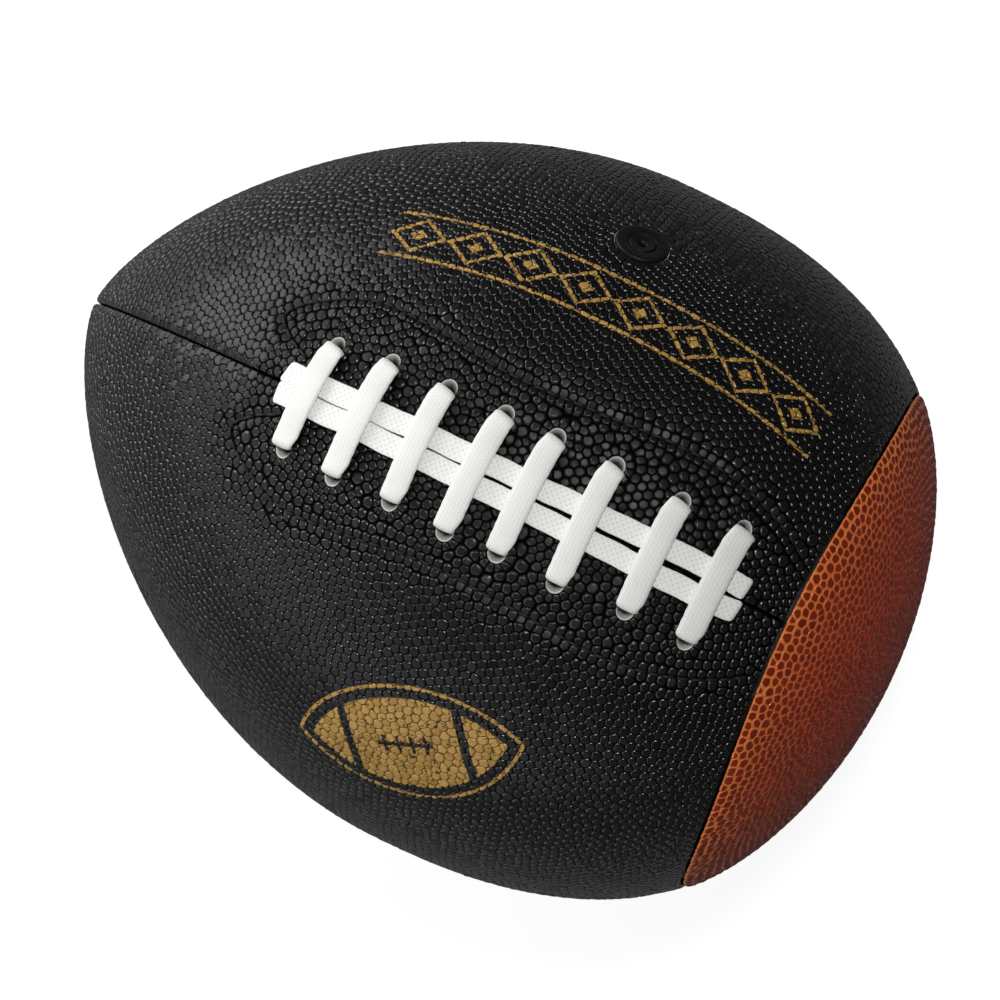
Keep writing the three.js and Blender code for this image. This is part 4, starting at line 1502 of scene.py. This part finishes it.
def bladder_rubber():
    f = Finish("bladder_rubber")
    powder, grain = f.noise(6.0, 4.0), f.noise(0.5, 2.0)
    base = f.mix(colour(26, 25, 25), colour(58, 56, 54), powder)
    return f.skin(Base_Color=base, Roughness=grain * 0.2 + 0.5, Normal=f.bump(grain, 0.04, 0.4))


inner_finishes = {
    "lining_cloth": lining_cloth(), "bladder_rubber": bladder_rubber(), "black_thread": thread_finish,
}
for name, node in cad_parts.items():
    if node.hide_render:
        continue
    kind = "bladder_rubber" if name == "bladder" else "black_thread" if "thread" in name else "lining_cloth"
    node.data.materials.clear()
    node.data.materials.append(inner_finishes[kind])
print("inner pieces:", sum(not node.hide_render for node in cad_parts.values()))

# %% [markdown]
# ## Camera
# The photograph looks down on the lace, with the ball turned across the picture and its blunt end tipped a
# little towards the camera. Three turns and a distance describe that. A camera in Blender looks along its
# own -Z with +Y up, so the ball's place as the camera sees it is turned round to give the camera's place.

# %% Camera as in the photograph
image_side, sensor = 1000, 36.0
focal_pixels, camera_distance = 4968.2, 1176.4
ball_spin, ball_pitch, ball_roll = 0.44658, 0.14320, -0.02881
shift_right, shift_down = 7.403, 2.629

seen = Matrix.Rotation(-ball_spin, 3, "Z") @ Matrix.Rotation(-ball_pitch, 3, "Y")
seen = seen @ Matrix.Rotation(ball_roll, 3, "X")
girth_centre = Vector(in_frame(*np.zeros(3))) * METRES
offset = Vector((shift_right, -shift_down, -camera_distance)) * METRES
camera_turn = seen.transposed()

camera = bpy.data.objects.new("camera", bpy.data.cameras.new("camera"))
camera.data.sensor_width = sensor
camera.data.lens = focal_pixels / image_side * sensor
camera.matrix_world = Matrix.Translation(girth_centre - camera_turn @ offset) @ camera_turn.to_4x4()
bpy.context.scene.collection.objects.link(camera)
bpy.context.scene.camera = camera
print("camera at", tuple(round(c, 3) for c in camera.matrix_world.translation))

# %% [markdown]
# ## Floor
# The ball lies on a plain pale floor. The floor adds a glow to what the camera sees of it, so that it
# reaches white, keeps the ball's shadow and throws little light back at the black skin.


# %% Floor
floor_half, floor_glow, mirrored_share = 4.0, 0.88, 0.05
floor_pale, floor_speck = (0.3, 0.3, 0.3, 1), (0.32, 0.32, 0.32, 1)


def seen_share(f):
    """1 for what the camera sees, and a share of it for what is seen mirrored in the ball."""
    kinds = "Camera", "Glossy", "Transmission"
    rays = [f.node("ShaderNodeLightPath", output=f"Is {kind} Ray") for kind in kinds]
    return rays[0] + (rays[1] + rays[2]) * mirrored_share


def white_floor():
    f = Finish("white_floor")
    glow = f.node("ShaderNodeEmission", sockets={"Strength": seen_share(f) * floor_glow})
    paint = f.mix(floor_pale, floor_speck, f.noise(60.0, 2.0))
    plain = f.node("ShaderNodeBsdfDiffuse", sockets={"Color": paint})
    return f.close(f.node("ShaderNodeAddShader", sockets={0: plain, 1: glow}))


floor_corners = [(floor_half * x, floor_half * y, 0) for x, y in ((-1, -1), (1, -1), (1, 1), (-1, 1))]
floor_mesh = bpy.data.meshes.new("floor")
floor_mesh.from_pydata(floor_corners, [], [(0, 1, 2, 3)])
floor_mesh.materials.append(white_floor())
floor = bpy.data.objects.new("floor", floor_mesh)
bpy.context.scene.collection.objects.link(floor)
floor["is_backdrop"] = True
print("floor", 2 * floor_half, "m wide")

# %% [markdown]
# ## Light
# The lace faces the camera, so a key lamp close to the camera lights it evenly. A wide lamp stands low, far
# to the left. It and surroundings that are brighter on one side give the pebbles their glints and the nose
# its sheen, while the right side stays dark. Equal light from all round would be easier, but would turn the
# black skin grey.

# %% Surroundings
dark_side, bright_side, turns_dark, turns_bright = 0.05, 1.5, -0.35, 0.75
bright_way = (camera_turn @ Vector((-0.75, -0.25, -0.6))).normalized()
studio = Finish("studio", "worlds")
shown = seen_share(studio)
ways = {0: studio.node("ShaderNodeTexCoord", output="Generated"), 1: bright_way}
towards = studio.node("ShaderNodeVectorMath", {"operation": "DOT_PRODUCT"}, ways, "Value")
surround = towards.step(turns_dark, turns_bright, dark_side, bright_side)
light = {"Color": (1, 1, 1, 1), "Strength": shown * (1 - surround) + surround}
bpy.context.scene.world = studio.close(studio.node("ShaderNodeBackground", sockets=light), "World")
print("surroundings from", dark_side, "to", bright_side)


# %% Lamps
def add_lamp(name, kind, side, distance, aim, **settings):
    """A lamp that stands to one side of the ball, as the camera sees it, and points at a spot beside it."""
    lamp = bpy.data.objects.new("lamp_" + name, bpy.data.lights.new("lamp_" + name, kind))
    for setting, value in settings.items():
        setattr(lamp.data, setting, value)
    place, target = camera_turn @ Vector(side).normalized() * distance, camera_turn @ Vector(aim)
    lamp.location = girth_centre + place
    lamp.rotation_euler = (place - target).to_track_quat("Z", "Y").to_euler()
    bpy.context.scene.collection.objects.link(lamp)


key_side, key_aim, key_cone = (0.06, 0.22, 0.97), (0.03, 0.0, 0), math.radians(44)
left_side, left_aim = (-0.75, 0.68, 0.1), (0, 0, 0)
add_lamp(
    "key", "SPOT", key_side, 1.0, key_aim, energy=20, shadow_soft_size=0.1, spot_size=key_cone, spot_blend=0.4
)
add_lamp("left", "AREA", left_side, 0.9, left_aim, energy=4, size=0.6)
print("lamps: a key near the camera, and a wide one low on the left")

# %% [markdown]
# ## Sizes
# The box of the CAD model and the box of the dressed ball are both printed at the end.

# %% Finish
bpy.context.scene.view_settings.view_transform = "Standard"
boxes = {"cad": cad_box, "visual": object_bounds()}
{name: [list(corner) for corner in box] for name, box in boxes.items()}
print("sizes:", boxes)
